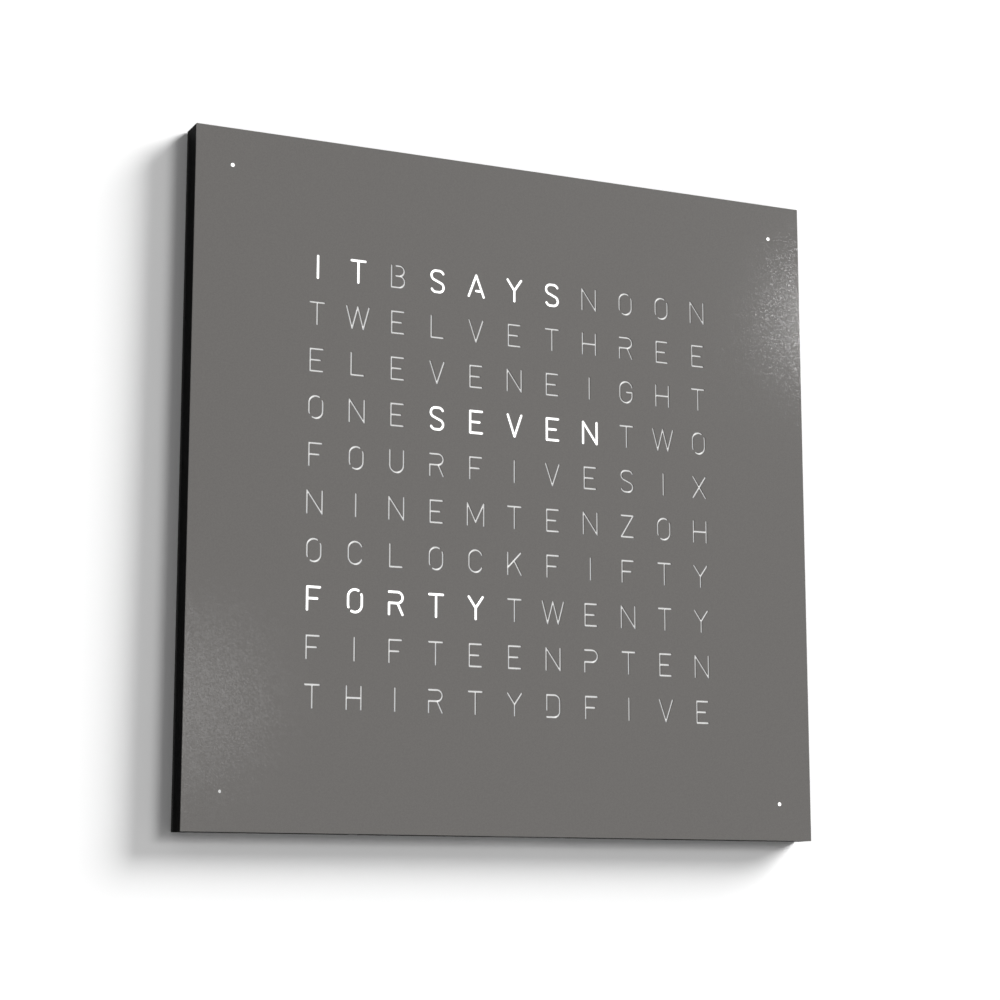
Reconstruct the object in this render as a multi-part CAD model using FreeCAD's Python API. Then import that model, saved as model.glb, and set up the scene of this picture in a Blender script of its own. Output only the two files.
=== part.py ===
import FreeCAD, Part

import math
import os

# Word clock for a wall: a milled black body, an LED board behind a light grid, and a lettered
# steel cover that magnets hold on the front.
# Millimetres. +Z is up, +X is to the right of someone who reads the clock, the front faces -Y.
# The origin is the centre of the body's back face, which lies on the wall.

# ---- overall ----
WIDTH = 450.0
HEIGHT = 450.0
DEPTH = 20.0              # from the wall to the face of the cover
COVER_SHEET = 1.0         # thickness of the cover's steel sheet

# ---- lettering: one string per row, one letter per cell ----
ROWS = (
    "ITBSAYSNOON",
    "TWELVETHREE",
    "ELEVENEIGHT",
    "ONESEVENTWO",
    "FOURFIVESIX",
    "NINEMTENZOH",
    "OCLOCKFIFTY",
    "FORTYTWENTY",
    "FIFTEENPTEN",
    "THIRTYDFIVE",
)
SIDE_MARGIN = 69.9        # edge of the cover to the field of letters
END_MARGIN = 70.0         # the same, above and below the letters
CAP_HEIGHT = 15.75        # over the strokes
STROKE = 1.2              # width of the slots that draw a letter
BRIDGE = 2.0              # sheet left in a closed letter, so that its middle stays in place
DOT_HOLE_D = 2.2
DOT_INSET = 24.7          # from the edges of the cover to a dot's centre

# ---- widths of the letters, between the centre lines of their outer strokes ----
ROUND_W = 9.4             # C D G O P R
BAR_W = 8.5               # E F L
A_W = 11.0
B_W = 9.2
H_W = 9.9
K_W = 9.7
M_W = 11.8
N_W = 10.3
S_W = 8.8
T_W = 9.6
U_W = 9.6
V_W = 10.0
W_W = 15.6
X_W = 9.6
Y_W = 10.0
Z_W = 9.0
S_BOWL_R = 3.25
B_UPPER_R = 3.4
P_BOWL_R = 3.95
R_BOWL_R = 3.6
D_BOWL_R = 3.9
SHORT_ARM = 0.79          # middle arm of E and F, as a share of the letter's width
A_BAR = -0.47             # height of the bar of A, in half cap heights from the middle
K_FOOT = -0.38            # where the arm of K meets the stem, in half cap heights
M_DIP = -0.7              # lowest point inside M, in half cap heights
B_WAIST = 0.3             # upper bowl of B short of the lower one
D_STEM_FOOT = 4.6         # end of the stem of D above the letter's lower stroke
C_MOUTH = 22              # degrees from level to the ends of C
G_MOUTH = 12
S_MOUTH = 25
O_GAP_AT = 41             # degrees from level to the bridges of O
G_BAR = 0.5               # start of the bar of G, right of the middle

# ---- film behind the letters ----
FILM = 0.3
FILM_GLUE = 0.05          # film to the sheet
DOT_FILM_R = 5.5
FIT = 0.05                # round a piece that is let into the body, and round a screw's thread

# ---- light grid and LED board ----
GRID_WALL = 1.6
GRID_TO_FILM = 0.3
BOARD = 1.6               # every circuit board is this thick
LED_BOARD_LEVEL = 6.6     # back of the LED board, in front of the wall
LED_BOARD_BORDER = 4.0    # LED board past the light grid, all round
POCKET_GAP = 0.5          # LED board to its pocket
LED_SIZE = 5.0
LED_THICK = 1.6
LED_WINDOW = 0.4          # radius of the sunk window's mouth, of the package's side
LED_WELL = 0.32           # radius of the window's floor, of the package's side
BOSS_R = 3.6              # screw boss of the light grid
GRID_SCREW_R = 1.4
GRID_SCREW_HEAD_R = 2.8
GRID_SCREW_HEAD = 1.6
GRID_SCREW_SINK = 0.6     # head below the grid's front
GRID_SCREW_BITE = 4.0     # thread in the body
SCREW_ROOM = 0.2          # round a screw in a piece that it only passes through
DRIVER_SIZE = (7.6, 2.4, 10.0)
DRIVER_GAP = 4.5          # from the LED board's connector

# ---- corner dots ----
DOT_BORE_R = 7.0
DOT_BOARD_R = 6.6
DOT_LED_SIZE = 3.4
REFLECTOR_WALL = 0.9
REFLECTOR_GAP = 0.3       # reflector to its bore, and to the film
LEAD_W = 2.6
LEAD_T = 0.8
LEAD_GROOVE_W = 3.4
LEAD_OVERLAP = 4.0        # of the lead on the dot board, from the board's edge
LEAD_CLEAR = 3.7          # from the light grid's corner to the lead

# ---- cover fixing ----
STUD_R = 2.0
STUD_LENGTH = 6.0
STUD_GAP = 0.25
BUSH_R = 4.0
BUSH_LENGTH = 8.0
STUD_TIP = 0.6            # bevel
STUD_INSET = 13.0         # from the side edges
STUDS_APART = 333.0       # up one side
MAGNET_R = 5.0
MAGNET_T = 3.0
MAGNET_INSET = 20.0       # from the nearest edge
SIDE_MAGNETS_APART = 225.0
END_MAGNETS_APART = 280.0  # above and below the letters
MAGNET_SINK = 0.1         # below the body's front face

# ---- hangers ----
HANGER_APART = 300.0
HANGER_INSET = 35.0       # from the top edge
HANGER_W = 62.0
HANGER_H = 28.0
HANGER_T = 1.5
HANGER_GAP = 0.3
KEYHOLE_R = 4.5
KEYHOLE_SLOT_R = 2.4
KEYHOLE_RISE = 9.0
KEYHOLE_DROP = 4.0        # entry circle below the plate's middle
HEAD_ROOM_DEPTH = 9.0     # for the head of the wall screw behind the plate
HEAD_ROOM = 1.5           # round the keyhole
HANGER_SCREW_SPREAD = 24.0
HANGER_SCREW_R = 1.75
HANGER_SCREW_HEAD_R = 3.4
HANGER_SCREW_LENGTH = 12.0

# ---- electronics pocket, cut from the back below the LED board ----
EDGE_WALL = 8.0           # between the pocket and the underside
BACK_EDGE_R = 0.5         # rounding of the body's edges against the wall
POCKET_W = 94.0
POCKET_H = 45.0
HARNESS_W = 60.0          # window from the pocket up to the back of the LED board
HARNESS_MARGIN = 16.0     # window above the foot of the LED board's connector
POST = 7.0                # corner posts for the back panel's screws
PANEL_T = 1.5
PANEL_SINK = 0.2
PANEL_LAP = 3.0
PANEL_GAP = 0.3
PANEL_SCREW_R = 1.5
PANEL_SCREW_HEAD_R = 2.75
PANEL_SCREW_LENGTH = 4.4
UPPER_SCREW_DROP = 9.0    # from the top of the harness window to the upper panel screws

# ---- control board ----
SPACER_H = 2.0
SPACER_R = 3.0
BOARD_SCREW_R = 1.25
BOARD_SCREW_HEAD_R = 2.4
BOARD_SCREW_HEAD = 1.3
BOARD_SCREW_BITE = 2.0    # thread in the floor of the pocket
CONTROL_W = 91.0
CONTROL_H = 32.5
CONTROL_TOP_GAP = 4.0     # board to the top of the pocket
BOARD_SCREW_INSET = 4.0
CHIP_SIZE = (10.0, 1.4, 10.0)
CHIP_AT = (3.0, 18.0)     # from the board's middle, and below its top edge
CLOCK_CHIP_SIZE = (5.0, 1.6, 4.0)
CLOCK_CHIP_AT = (-11.0, 25.0)
LEG_W = 0.35
LEG_T = 0.35
LEG_REACH = 1.2
CHIP_LIFT = 0.1
CHIP_MARK_R = 0.5
CHIP_MARK_INSET = 1.2
CELL_R = 10.0
CELL_T = 3.2
CELL_AT = (27.0, 15.5)
CELL_GAP = 0.3
HOLDER_WALL = 1.2
HOLDER_FLOOR = 0.8
CELL_RIM = 0.4
CELL_CAP_INSET = 1.5
CAPACITOR_R = 3.15
CAPACITOR_H = 7.0
CAPACITOR_FOOT = 0.5
CAPACITORS_AT = ((-33.0, 6.5), (-25.0, 6.5))
COIL_SIZE = (7.0, 4.0, 7.0)
COIL_AT = (-26.0, 17.0)
COIL_WELL_R = 2.4
COIL_WELL = 0.4

# ---- power inlet and the space for its plug ----
JACK_W = 9.0
JACK_H = 9.0
JACK_LENGTH = 14.0
JACK_BORE_R = 3.1
JACK_BORE_DEPTH = 9.5
JACK_PIN_R = 1.0
JACK_PIN_SINK = 1.5       # tip behind the mouth
JACK_DROP = 16.0          # below the control board's top edge
JACK_GAP = 0.3
JACK_ROOM = 0.7           # jack to the back panel
PLUG_WALL = 5.0           # body left between the electronics pocket and the plug's
PLUG_POCKET_L = 58.0
PLUG_POCKET_H = 18.0
PLUG_POCKET_DEPTH = 13.5
CABLE_GROOVE_W = 8.0
CABLE_GROOVE_DEPTH = 8.0

# ---- buttons and light sensor, in the underside ----
BUTTONS = ("hour", "minute", "mode")
BUTTON_PITCH = 12.0
FIRST_BUTTON_X = 10.0
BUTTON_R = 2.5
BUTTON_GAP = 0.3
BUTTON_SINK = 0.2
BUTTON_TRAVEL = 0.8
FLANGE_LIP = 1.0
FLANGE_T = 1.2
DISH_R = 6.0
DISH = 0.35
SWITCH_W = 6.0
SWITCH_LENGTH = 5.0
SWITCH_H = 6.0
PLUNGER_R = 1.5
PLUNGER_GAP = 0.1
PLUNGER_BORE_DEPTH = 3.0
PLUNGER_OUT = 3.6
PIPE_X = -4.0
PIPE_R = 1.5
PIPE_GAP = 0.1
PIPE_COLLAR = 1.0         # height and lip of the collar that stops the pipe
SENSOR_SIZE = (3.2, 2.6, 1.2)
KEY_PLATE_T = 1.5
KEY_PLATE_GAP = 0.15
KEY_PLATE_MARGIN = 9.0    # past the outer button and the light pipe
KEY_PLATE_W = 11.0
KEY_SCREW_R = 1.0
KEY_SCREW_HEAD_R = 1.8
KEY_SCREW_LENGTH = 5.0
KEY_SCREW_INSET = 3.4

# ---- connectors and ribbon between the two boards ----
CONNECTOR_W = 20.0
CONNECTOR_H = 4.2
CONNECTOR_L = 6.0
CONNECTOR_DROP = 9.0      # below the control board's top edge, to the connector's foot
LED_CONNECTOR_RISE = 20.0  # above the LED board's lower edge
RIBBON_W = 16.0
RIBBON_T = 0.4
RIBBON_HEIGHT = 2.0       # over each board
RIBBON_STRAIGHT = 1.0     # out of the control board's connector
RIBBON_CLEAR = 1.5        # bend below the top of the pocket
RIBBON_PLUG = 2.5         # ribbon inside each connector
SLIT_GAP = 0.3

# ---- screw heads ----
CROSS_ARM = 0.55          # of the head's radius
CROSS_SLOT = 0.28         # of the arm

# ---- levels along Y, and places worked out from the values above ----
FRONT = -DEPTH
BODY_FRONT = FRONT + COVER_SHEET
FILM_FRONT = BODY_FRONT + FILM_GLUE
FILM_BACK = FILM_FRONT + FILM
GRID_FRONT = FILM_BACK + GRID_TO_FILM
LED_BOARD_BACK = -LED_BOARD_LEVEL
LED_BOARD_FRONT = LED_BOARD_BACK - BOARD
COLUMNS = len(ROWS[0])
COLUMN_PITCH = (WIDTH - 2 * SIDE_MARGIN) / COLUMNS
ROW_PITCH = (HEIGHT - 2 * END_MARGIN) / len(ROWS)
GRID_W = COLUMNS * COLUMN_PITCH + GRID_WALL
GRID_H = len(ROWS) * ROW_PITCH + GRID_WALL
LED_BOARD_W = GRID_W + 2 * LED_BOARD_BORDER
LED_BOARD_H = GRID_H + 2 * LED_BOARD_BORDER
BOTTOM = -HEIGHT / 2
POCKET_FLOOR = BOTTOM + EDGE_WALL
POCKET_TOP = POCKET_FLOOR + POCKET_H
LED_CONNECTOR_Z = -LED_BOARD_H / 2 + LED_CONNECTOR_RISE
HARNESS_TOP = LED_CONNECTOR_Z + HARNESS_MARGIN
POCKET_DEPTH = PANEL_SINK + PANEL_T + JACK_ROOM + JACK_H + BOARD + SPACER_H
DOT_X = WIDTH / 2 - DOT_INSET
DOT_Z = HEIGHT / 2 - DOT_INSET
HANGER_Z = HEIGHT / 2 - HANGER_INSET
CONTROL_BACK = -POCKET_DEPTH + SPACER_H + BOARD
CONTROL_TOP = POCKET_TOP - CONTROL_TOP_GAP
CONTROL_BOTTOM = CONTROL_TOP - CONTROL_H
JACK_MOUTH_X = -POCKET_W / 2 - PLUG_WALL
JACK_Z = CONTROL_TOP - JACK_DROP
JACK_Y = CONTROL_BACK + JACK_H / 2
BOARD_CONNECTOR_Z = CONTROL_TOP - CONNECTOR_DROP
BUTTON_Y = CONTROL_BACK + SWITCH_H / 2
BUTTON_XS = [FIRST_BUTTON_X + i * BUTTON_PITCH for i in range(len(BUTTONS))]
KEY_PLATE_X = (PIPE_X - KEY_PLATE_MARGIN, BUTTON_XS[-1] + KEY_PLATE_MARGIN)
CORNERS = [(sx, sz) for sx in (-1, 1) for sz in (-1, 1)]

X_AXIS = FreeCAD.Vector(1, 0, 0)
Y_AXIS = FreeCAD.Vector(0, 1, 0)
Z_AXIS = FreeCAD.Vector(0, 0, 1)


# ---- solids ----

def at(x, y, z):
    return FreeCAD.Vector(x, y, z)


def block(x, y, z):
    """A box between two values on each axis, given in either order."""
    low = at(min(x), min(y), min(z))
    return Part.makeBox(abs(x[1] - x[0]), abs(y[1] - y[0]), abs(z[1] - z[0]), low)


def centred(x, size_x, y, z, size_z):
    """A box centred on x and z, between the two values of y."""
    return block((x - size_x / 2, x + size_x / 2), y, (z - size_z / 2, z + size_z / 2))


def rod(radius, start, end):
    return Part.makeCylinder(radius, (end - start).Length, start, end - start)


def y_rod(radius, x, z, y):
    """A cylinder along Y between the two values of y."""
    return rod(radius, at(x, y[0], z), at(x, y[1], z))


def z_rod(radius, x, z):
    """A cylinder along Z between the two values of z, in line with the buttons."""
    return rod(radius, at(x, BUTTON_Y, z[0]), at(x, BUTTON_Y, z[1]))


def join(shapes):
    return shapes[0].multiFuse(shapes[1:]).removeSplitter() if len(shapes) > 1 else shapes[0]


def cut(shape, tools):
    return shape.cut(Part.makeCompound(tools)) if tools else shape


def cross_slot(radius, depth, x, z, y, way):
    """The cross in a screw's head, from y inwards."""
    arm = radius * CROSS_ARM
    slot = arm * CROSS_SLOT
    return join([centred(x, 2 * w, (y, y + way * depth), z, 2 * h) for w, h in ((arm, slot), (slot, arm))])


def flat_screw(head_r, shank_r, length, x, z, y, way=-1):
    """A countersunk screw along Y: its head's face is at y, and its point lies in the direction way."""
    head = head_r - shank_r
    cone = Part.makeCone(head_r, shank_r, head, at(x, y, z), at(0, way, 0))
    body = y_rod(shank_r, x, z, (y + way * head / 2, y + way * length))
    return cut(join([cone, body]), [cross_slot(head_r, head / 2, x, z, y, way)])


def flat_screw_hole(head_r, shank_r, length, x, z, y, way=-1):
    """What a countersunk screw takes out of the pieces that it holds."""
    cone = Part.makeCone(head_r + FIT, shank_r + FIT, head_r - shank_r, at(x, y, z), at(0, way, 0))
    return join([cone, y_rod(shank_r + FIT, x, z, (y, y + way * (length + FIT)))])


# ---- flat outlines of the letters, in the XZ plane ----

def point(p):
    return at(p[0], 0, p[1])


def on_circle(centre, radius, degrees):
    a = math.radians(degrees)
    return (centre[0] + radius * math.cos(a), centre[1] + radius * math.sin(a))


def line(start, end):
    return ("line", start, end)


def arc(centre, radius, first, last):
    """Degrees from +X towards +Z. The stroke runs from the first angle to the last."""
    return ("arc", centre, radius, first, last)


def heading(segment, at_end):
    """Unit direction of a stroke at its start or its end."""
    if segment[0] == "line":
        dx, dz = (segment[2][i] - segment[1][i] for i in (0, 1))
        length = math.hypot(dx, dz)
        return (dx / length, dz / length)
    _, _, _, first, last = segment
    turn = math.copysign(90, last - first)
    a = math.radians((last if at_end else first) + turn)
    return (math.cos(a), math.sin(a))


def beside(segment, shift):
    """The edge that runs beside a stroke, shift to its left."""
    if segment[0] == "line":
        dx, dz = heading(segment, False)
        start, end = ((p[0] - dz * shift, p[1] + dx * shift) for p in segment[1:])
        return Part.LineSegment(point(start), point(end)).toShape()
    _, centre, radius, first, last = segment
    wide = radius - shift * math.copysign(1, last - first)
    ends = [point(on_circle(centre, wide, a)) for a in (first, (first + last) / 2, last)]
    return Part.Arc(*ends).toShape()


def end_of(segment, at_end):
    if segment[0] == "line":
        return segment[2] if at_end else segment[1]
    _, centre, radius, first, last = segment
    return on_circle(centre, radius, last if at_end else first)


def cap(segment, at_end):
    """The half circle that closes a stroke."""
    x, z = end_of(segment, at_end)
    dx, dz = heading(segment, at_end)
    r = STROKE / 2
    out = r if at_end else -r
    ends = ((x - dz * r, z + dx * r), (x + dx * out, z + dz * out), (x + dz * r, z - dx * r))
    return Part.Arc(*[point(p) for p in ends]).toShape()


def stroke(*segments):
    """A slot with round ends along segments that run smoothly into each other."""
    edges = [beside(s, side * STROKE / 2) for s in segments for side in (1, -1)]
    edges += [cap(segments[0], False), cap(segments[-1], True)]
    return Part.Face(Part.Wire(Part.__sortEdges__(edges)))


def bars(*ends):
    """One straight slot for each pair of points."""
    return [stroke(line(start, end)) for start, end in ends]


def s_strokes(a, h):
    r = S_BOWL_R
    top, low = (r - a, h - r), (a - r, r - h)
    leave = math.degrees(math.atan2(-top[1], -top[0]) - math.acos(r / math.hypot(*top))) % 360
    return [stroke(
        arc((a - r, h - r), r, S_MOUTH, 90),
        line((a - r, h), (r - a, h)),
        arc(top, r, 90, leave),
        line(on_circle(top, r, leave), on_circle(low, r, leave - 180)),
        arc(low, r, leave - 180, -90),
        line((a - r, -h), (r - a, -h)),
        arc((r - a, r - h), r, -90, S_MOUTH - 180),
    )]


def o_strokes(a, h):
    half_gap = math.degrees((BRIDGE + STROKE) / a) / 2
    top, low = (0, h - a), (0, a - h)
    return [
        stroke(arc(top, a, O_GAP_AT + half_gap, 180), line((-a, h - a), (-a, a - h)),
               arc(low, a, 180, 180 + O_GAP_AT - half_gap)),
        stroke(arc(low, a, 180 + O_GAP_AT + half_gap, 360), line((a, a - h), (a, h - a)),
               arc(top, a, 0, O_GAP_AT - half_gap)),
    ]


def b_strokes(a, h):
    upper_r = B_UPPER_R
    lower_r = h - upper_r
    middle = h - 2 * upper_r
    start = -a + STROKE + BRIDGE
    upper_x = a - B_WAIST - upper_r
    lower_x = a - lower_r
    return bars(((-a, h), (-a, -h))) + [
        stroke(line((start, h), (upper_x, h)), arc((upper_x, h - upper_r), upper_r, 90, -90),
               line((upper_x, middle), (start, middle))),
        stroke(line((-a, -h), (lower_x, -h)), arc((lower_x, lower_r - h), lower_r, -90, 90),
               line((lower_x, middle), (start, middle))),
    ]


def d_strokes(a, h):
    r = D_BOWL_R
    return bars(((-a, h), (-a, D_STEM_FOOT - h))) + [stroke(
        line((-a, h), (a - r, h)), arc((a - r, h - r), r, 90, 0), line((a, h - r), (a, r - h)),
        arc((a - r, r - h), r, 0, -90), line((a - r, -h), (-a, -h)))]


def bowl_strokes(a, h, r):
    """The open bowl and the short stem that P and R share."""
    middle = h - 2 * r
    return [stroke(line((-a, h), (a - r, h)), arc((a - r, h - r), r, 90, -90),
                   line((a - r, middle), (-a, middle)))] + bars(((-a, middle), (-a, -h)))


def p_strokes(a, h):
    return bowl_strokes(a, h, P_BOWL_R)


def r_strokes(a, h):
    return bowl_strokes(a, h, R_BOWL_R) + bars(((a / 4, h - 2 * R_BOWL_R), (a, -h)))


def c_strokes(a, h):
    return [stroke(arc((0, h - a), a, C_MOUTH, 180), line((-a, h - a), (-a, a - h)),
                   arc((0, a - h), a, 180, 360 - C_MOUTH))]


def g_strokes(a, h):
    return [stroke(arc((0, h - a), a, G_MOUTH, 180), line((-a, h - a), (-a, a - h)),
                   arc((0, a - h), a, 180, 360), line((a, a - h), (a, 0)))] + bars(((a, 0), (G_BAR, 0)))


def u_strokes(a, h):
    return [stroke(line((-a, h), (-a, a - h)), arc((0, a - h), a, 180, 360), line((a, a - h), (a, h)))]


# Letters with round strokes: their width, and what draws them.
ROUND_LETTERS = {
    "B": (B_W, b_strokes),
    "C": (ROUND_W, c_strokes),
    "D": (ROUND_W, d_strokes),
    "G": (ROUND_W, g_strokes),
    "O": (ROUND_W, o_strokes),
    "P": (ROUND_W, p_strokes),
    "R": (ROUND_W, r_strokes),
    "S": (S_W, s_strokes),
    "U": (U_W, u_strokes),
}

LEFT_STEM = ((-1, 1), (-1, -1))
RIGHT_STEM = ((1, 1), (1, -1))
TOP_BAR = ((-1, 1), (1, 1))
FOOT_BAR = ((-1, -1), (1, -1))
MIDDLE_ARM = ((-1, 0), (2 * SHORT_ARM - 1, 0))
K_FORK = (-0.06, K_FOOT + 0.47 * (1 - K_FOOT))

# Letters with straight strokes: their width, and the ends of each stroke in half widths and half heights.
STRAIGHT_LETTERS = {
    "A": (A_W, ((-1, -1), (0, 1)), ((1, -1), (0, 1)), ((0, A_BAR), ((1 - A_BAR) / 2, A_BAR))),
    "E": (BAR_W, LEFT_STEM, TOP_BAR, FOOT_BAR, MIDDLE_ARM),
    "F": (BAR_W, LEFT_STEM, TOP_BAR, MIDDLE_ARM),
    "H": (H_W, LEFT_STEM, RIGHT_STEM, ((-1, 0), (1, 0))),
    "I": (STROKE, ((0, 1), (0, -1))),
    "K": (K_W, LEFT_STEM, ((0.94, 1), (-1, K_FOOT)), (K_FORK, (1, -1))),
    "L": (BAR_W, LEFT_STEM, FOOT_BAR),
    "M": (M_W, LEFT_STEM, RIGHT_STEM, ((-1, 1), (0, M_DIP)), ((1, 1), (0, M_DIP))),
    "N": (N_W, LEFT_STEM, RIGHT_STEM, ((-1, 1), (1, -1))),
    "T": (T_W, TOP_BAR, ((0, 1), (0, -1))),
    "V": (V_W, ((-1, 1), (0, -1)), ((1, 1), (0, -1))),
    "W": (W_W, ((-1, 1), (-0.5, -1)), ((-0.5, -1), (0, 1)), ((0, 1), (0.5, -1)), ((0.5, -1), (1, 1))),
    "X": (X_W, ((-1, 1), (1, -1)), ((1, 1), (-1, -1))),
    "Y": (Y_W, ((-1, 1), (0, 0)), ((1, 1), (0, 0)), ((0, 0), (0, -1))),
    "Z": (Z_W, TOP_BAR, ((1, 1), (-1, -1)), FOOT_BAR),
}


def strokes(letter):
    """The slots of one letter, centred on the origin of the XZ plane."""
    h = (CAP_HEIGHT - STROKE) / 2
    if letter in ROUND_LETTERS:
        width, draw = ROUND_LETTERS[letter]
        return draw(width / 2, h)
    width, *lines = STRAIGHT_LETTERS[letter]
    return bars(*[[(x * width / 2, z * h) for x, z in ends] for ends in lines])


def cell_centre(column, row):
    return ((column - (COLUMNS - 1) / 2) * COLUMN_PITCH, ((len(ROWS) - 1) / 2 - row) * ROW_PITCH)


def cells():
    return [(column, row) for row in range(len(ROWS)) for column in range(COLUMNS)]


def letter_wires():
    """The closed outlines of every letter's slots, at their places on the cover."""
    drawn = {letter: join(strokes(letter)).Faces for letter in sorted(set("".join(ROWS)))}
    wires = []
    for column, row in cells():
        x, z = cell_centre(column, row)
        for face in drawn[ROWS[row][column]]:
            wire = face.OuterWire.copy()
            wire.translate(at(x, FRONT, z))
            wires.append(wire)
    return wires


# ---- places that several pieces share ----

def stud_places():
    return [(sx * (WIDTH / 2 - STUD_INSET), sz * STUDS_APART / 2) for sx, sz in CORNERS]


def magnet_places():
    side = (WIDTH / 2 - MAGNET_INSET, SIDE_MAGNETS_APART / 2)
    end = (END_MAGNETS_APART / 2, HEIGHT / 2 - MAGNET_INSET)
    return [(sx * x, sz * z) for x, z in (side, end) for sx, sz in CORNERS]


def dot_places():
    return [(sx * DOT_X, sz * DOT_Z) for sx, sz in CORNERS]


def grid_screw_places():
    """Crossings of the light grid's walls: four near the corners, four along the middle."""
    column = COLUMN_PITCH * (COLUMNS / 2 - 2)
    row = ROW_PITCH * (len(ROWS) / 2 - 2)
    outer = COLUMN_PITCH * (COLUMNS / 2 - 1)
    inner = COLUMN_PITCH / 2
    middle = [(s * x, 0) for x in (inner, outer) for s in (-1, 1)]
    return [(sx * column, sz * row) for sx, sz in CORNERS] + middle


def hanger_places():
    return [-HANGER_APART / 2, HANGER_APART / 2]


def hanger_screw_places():
    return [(x + s * HANGER_SCREW_SPREAD, HANGER_Z) for x in hanger_places() for s in (-1, 1)]


def board_screw_places():
    x = CONTROL_W / 2 - BOARD_SCREW_INSET
    return [(s * x, z) for s in (-1, 1)
            for z in (CONTROL_TOP - BOARD_SCREW_INSET, CONTROL_BOTTOM + BOARD_SCREW_INSET)]


def panel_screw_places():
    low = (POCKET_W / 2 - POST / 2, POCKET_FLOOR + POST / 2)
    high = ((POCKET_W + HARNESS_W) / 4, HARNESS_TOP - UPPER_SCREW_DROP)
    return [(s * x, z) for x, z in (low, high) for s in (-1, 1)]


def key_bores():
    """X and radius of the holes in the underside for the buttons and the light pipe."""
    return [(x, BUTTON_R + BUTTON_GAP) for x in BUTTON_XS] + [(PIPE_X, PIPE_R + PIPE_GAP)]


def key_screw_xs():
    return [KEY_PLATE_X[0] + KEY_SCREW_INSET, KEY_PLATE_X[1] - KEY_SCREW_INSET]


def on_board(place):
    """X and Z of a place that is given from the control board's middle and its top edge."""
    return (place[0], CONTROL_TOP - place[1])


# ---- cover ----

def front_cover():
    corners = [at(sx * WIDTH / 2, FRONT, sz * HEIGHT / 2) for sx, sz in ((-1, -1), (1, -1), (1, 1), (-1, 1))]
    outline = Part.makePolygon(corners + corners[:1])
    dots = [Part.Wire(Part.makeCircle(DOT_HOLE_D / 2, at(x, FRONT, z), Y_AXIS)) for x, z in dot_places()]
    sheet = Part.makeFace([outline] + letter_wires() + dots, "Part::FaceMakerBullseye")
    return sheet.extrude(at(0, COVER_SHEET, 0))


def locating_studs():
    bevel_at = BODY_FRONT + STUD_LENGTH - STUD_TIP
    studs = []
    for x, z in stud_places():
        shank = y_rod(STUD_R, x, z, (BODY_FRONT, bevel_at))
        nose = Part.makeCone(STUD_R, STUD_R - STUD_TIP, STUD_TIP, at(x, bevel_at, z), Y_AXIS)
        studs.append(join([shank, nose]))
    return studs


def diffuser_film():
    return [centred(0, GRID_W, (FILM_FRONT, FILM_BACK), 0, GRID_H)]


def dot_diffusers():
    return [y_rod(DOT_FILM_R, x, z, (FILM_FRONT, FILM_BACK)) for x, z in dot_places()]


# ---- body and what is let into it ----

def electronics_pocket():
    wide = centred(0, POCKET_W, (0, -POCKET_DEPTH), (POCKET_FLOOR + POCKET_TOP) / 2, POCKET_H)
    posts = [block((s * POCKET_W / 2, s * (POCKET_W / 2 - POST)), (0, -POCKET_DEPTH),
                   (POCKET_FLOOR, POCKET_FLOOR + POST)) for s in (-1, 1)]
    window = block((-HARNESS_W / 2, HARNESS_W / 2), (0, LED_BOARD_BACK), (POCKET_TOP - POST, HARNESS_TOP))
    return join([cut(wide, posts), window])


def jack_window():
    half = JACK_W / 2 + JACK_GAP
    return block((JACK_MOUTH_X, -POCKET_W / 2), (0, CONTROL_BACK - JACK_GAP), (JACK_Z - half, JACK_Z + half))


def plug_pocket():
    x = (JACK_MOUTH_X - PLUG_POCKET_L, JACK_MOUTH_X)
    pocket = block(x, (0, -PLUG_POCKET_DEPTH), (JACK_Z - PLUG_POCKET_H / 2, JACK_Z + PLUG_POCKET_H / 2))
    groove = block((x[0], x[0] + CABLE_GROOVE_W), (0, -CABLE_GROOVE_DEPTH), (BOTTOM, JACK_Z))
    return join([pocket, groove])


def panel_outline(gap):
    """X and Z ranges of the back panel, less a gap all round."""
    half = POCKET_W / 2 + PANEL_LAP - gap
    return (-half, half), (POCKET_FLOOR - PANEL_LAP + gap, HARNESS_TOP + PANEL_LAP - gap)


def hanger_recess(x):
    plate = centred(x, HANGER_W + 2 * HANGER_GAP, (0, -HANGER_T), HANGER_Z, HANGER_H + 2 * HANGER_GAP)
    entry_z = HANGER_Z - KEYHOLE_DROP
    around = 2 * (KEYHOLE_R + HEAD_ROOM)
    room = centred(x, around, (0, -HEAD_ROOM_DEPTH), entry_z + KEYHOLE_RISE / 2, KEYHOLE_RISE + around)
    return join([plate, room])


def lead_bar(sx, sz, short, width, y):
    """A flat bar from beside the light grid's corner towards a corner dot, ending short of its centre."""
    out = LEAD_CLEAR / math.sqrt(2)
    start = at(sx * (GRID_W / 2 + out), 0, sz * (GRID_H / 2 + out))
    way = at(sx * DOT_X, 0, sz * DOT_Z) - start
    bar = block((0, way.Length - short), y, (-width / 2, width / 2))
    bar.rotate(at(0, 0, 0), Y_AXIS, -math.degrees(math.atan2(way.z, way.x)))
    bar.translate(start)
    return bar


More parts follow.
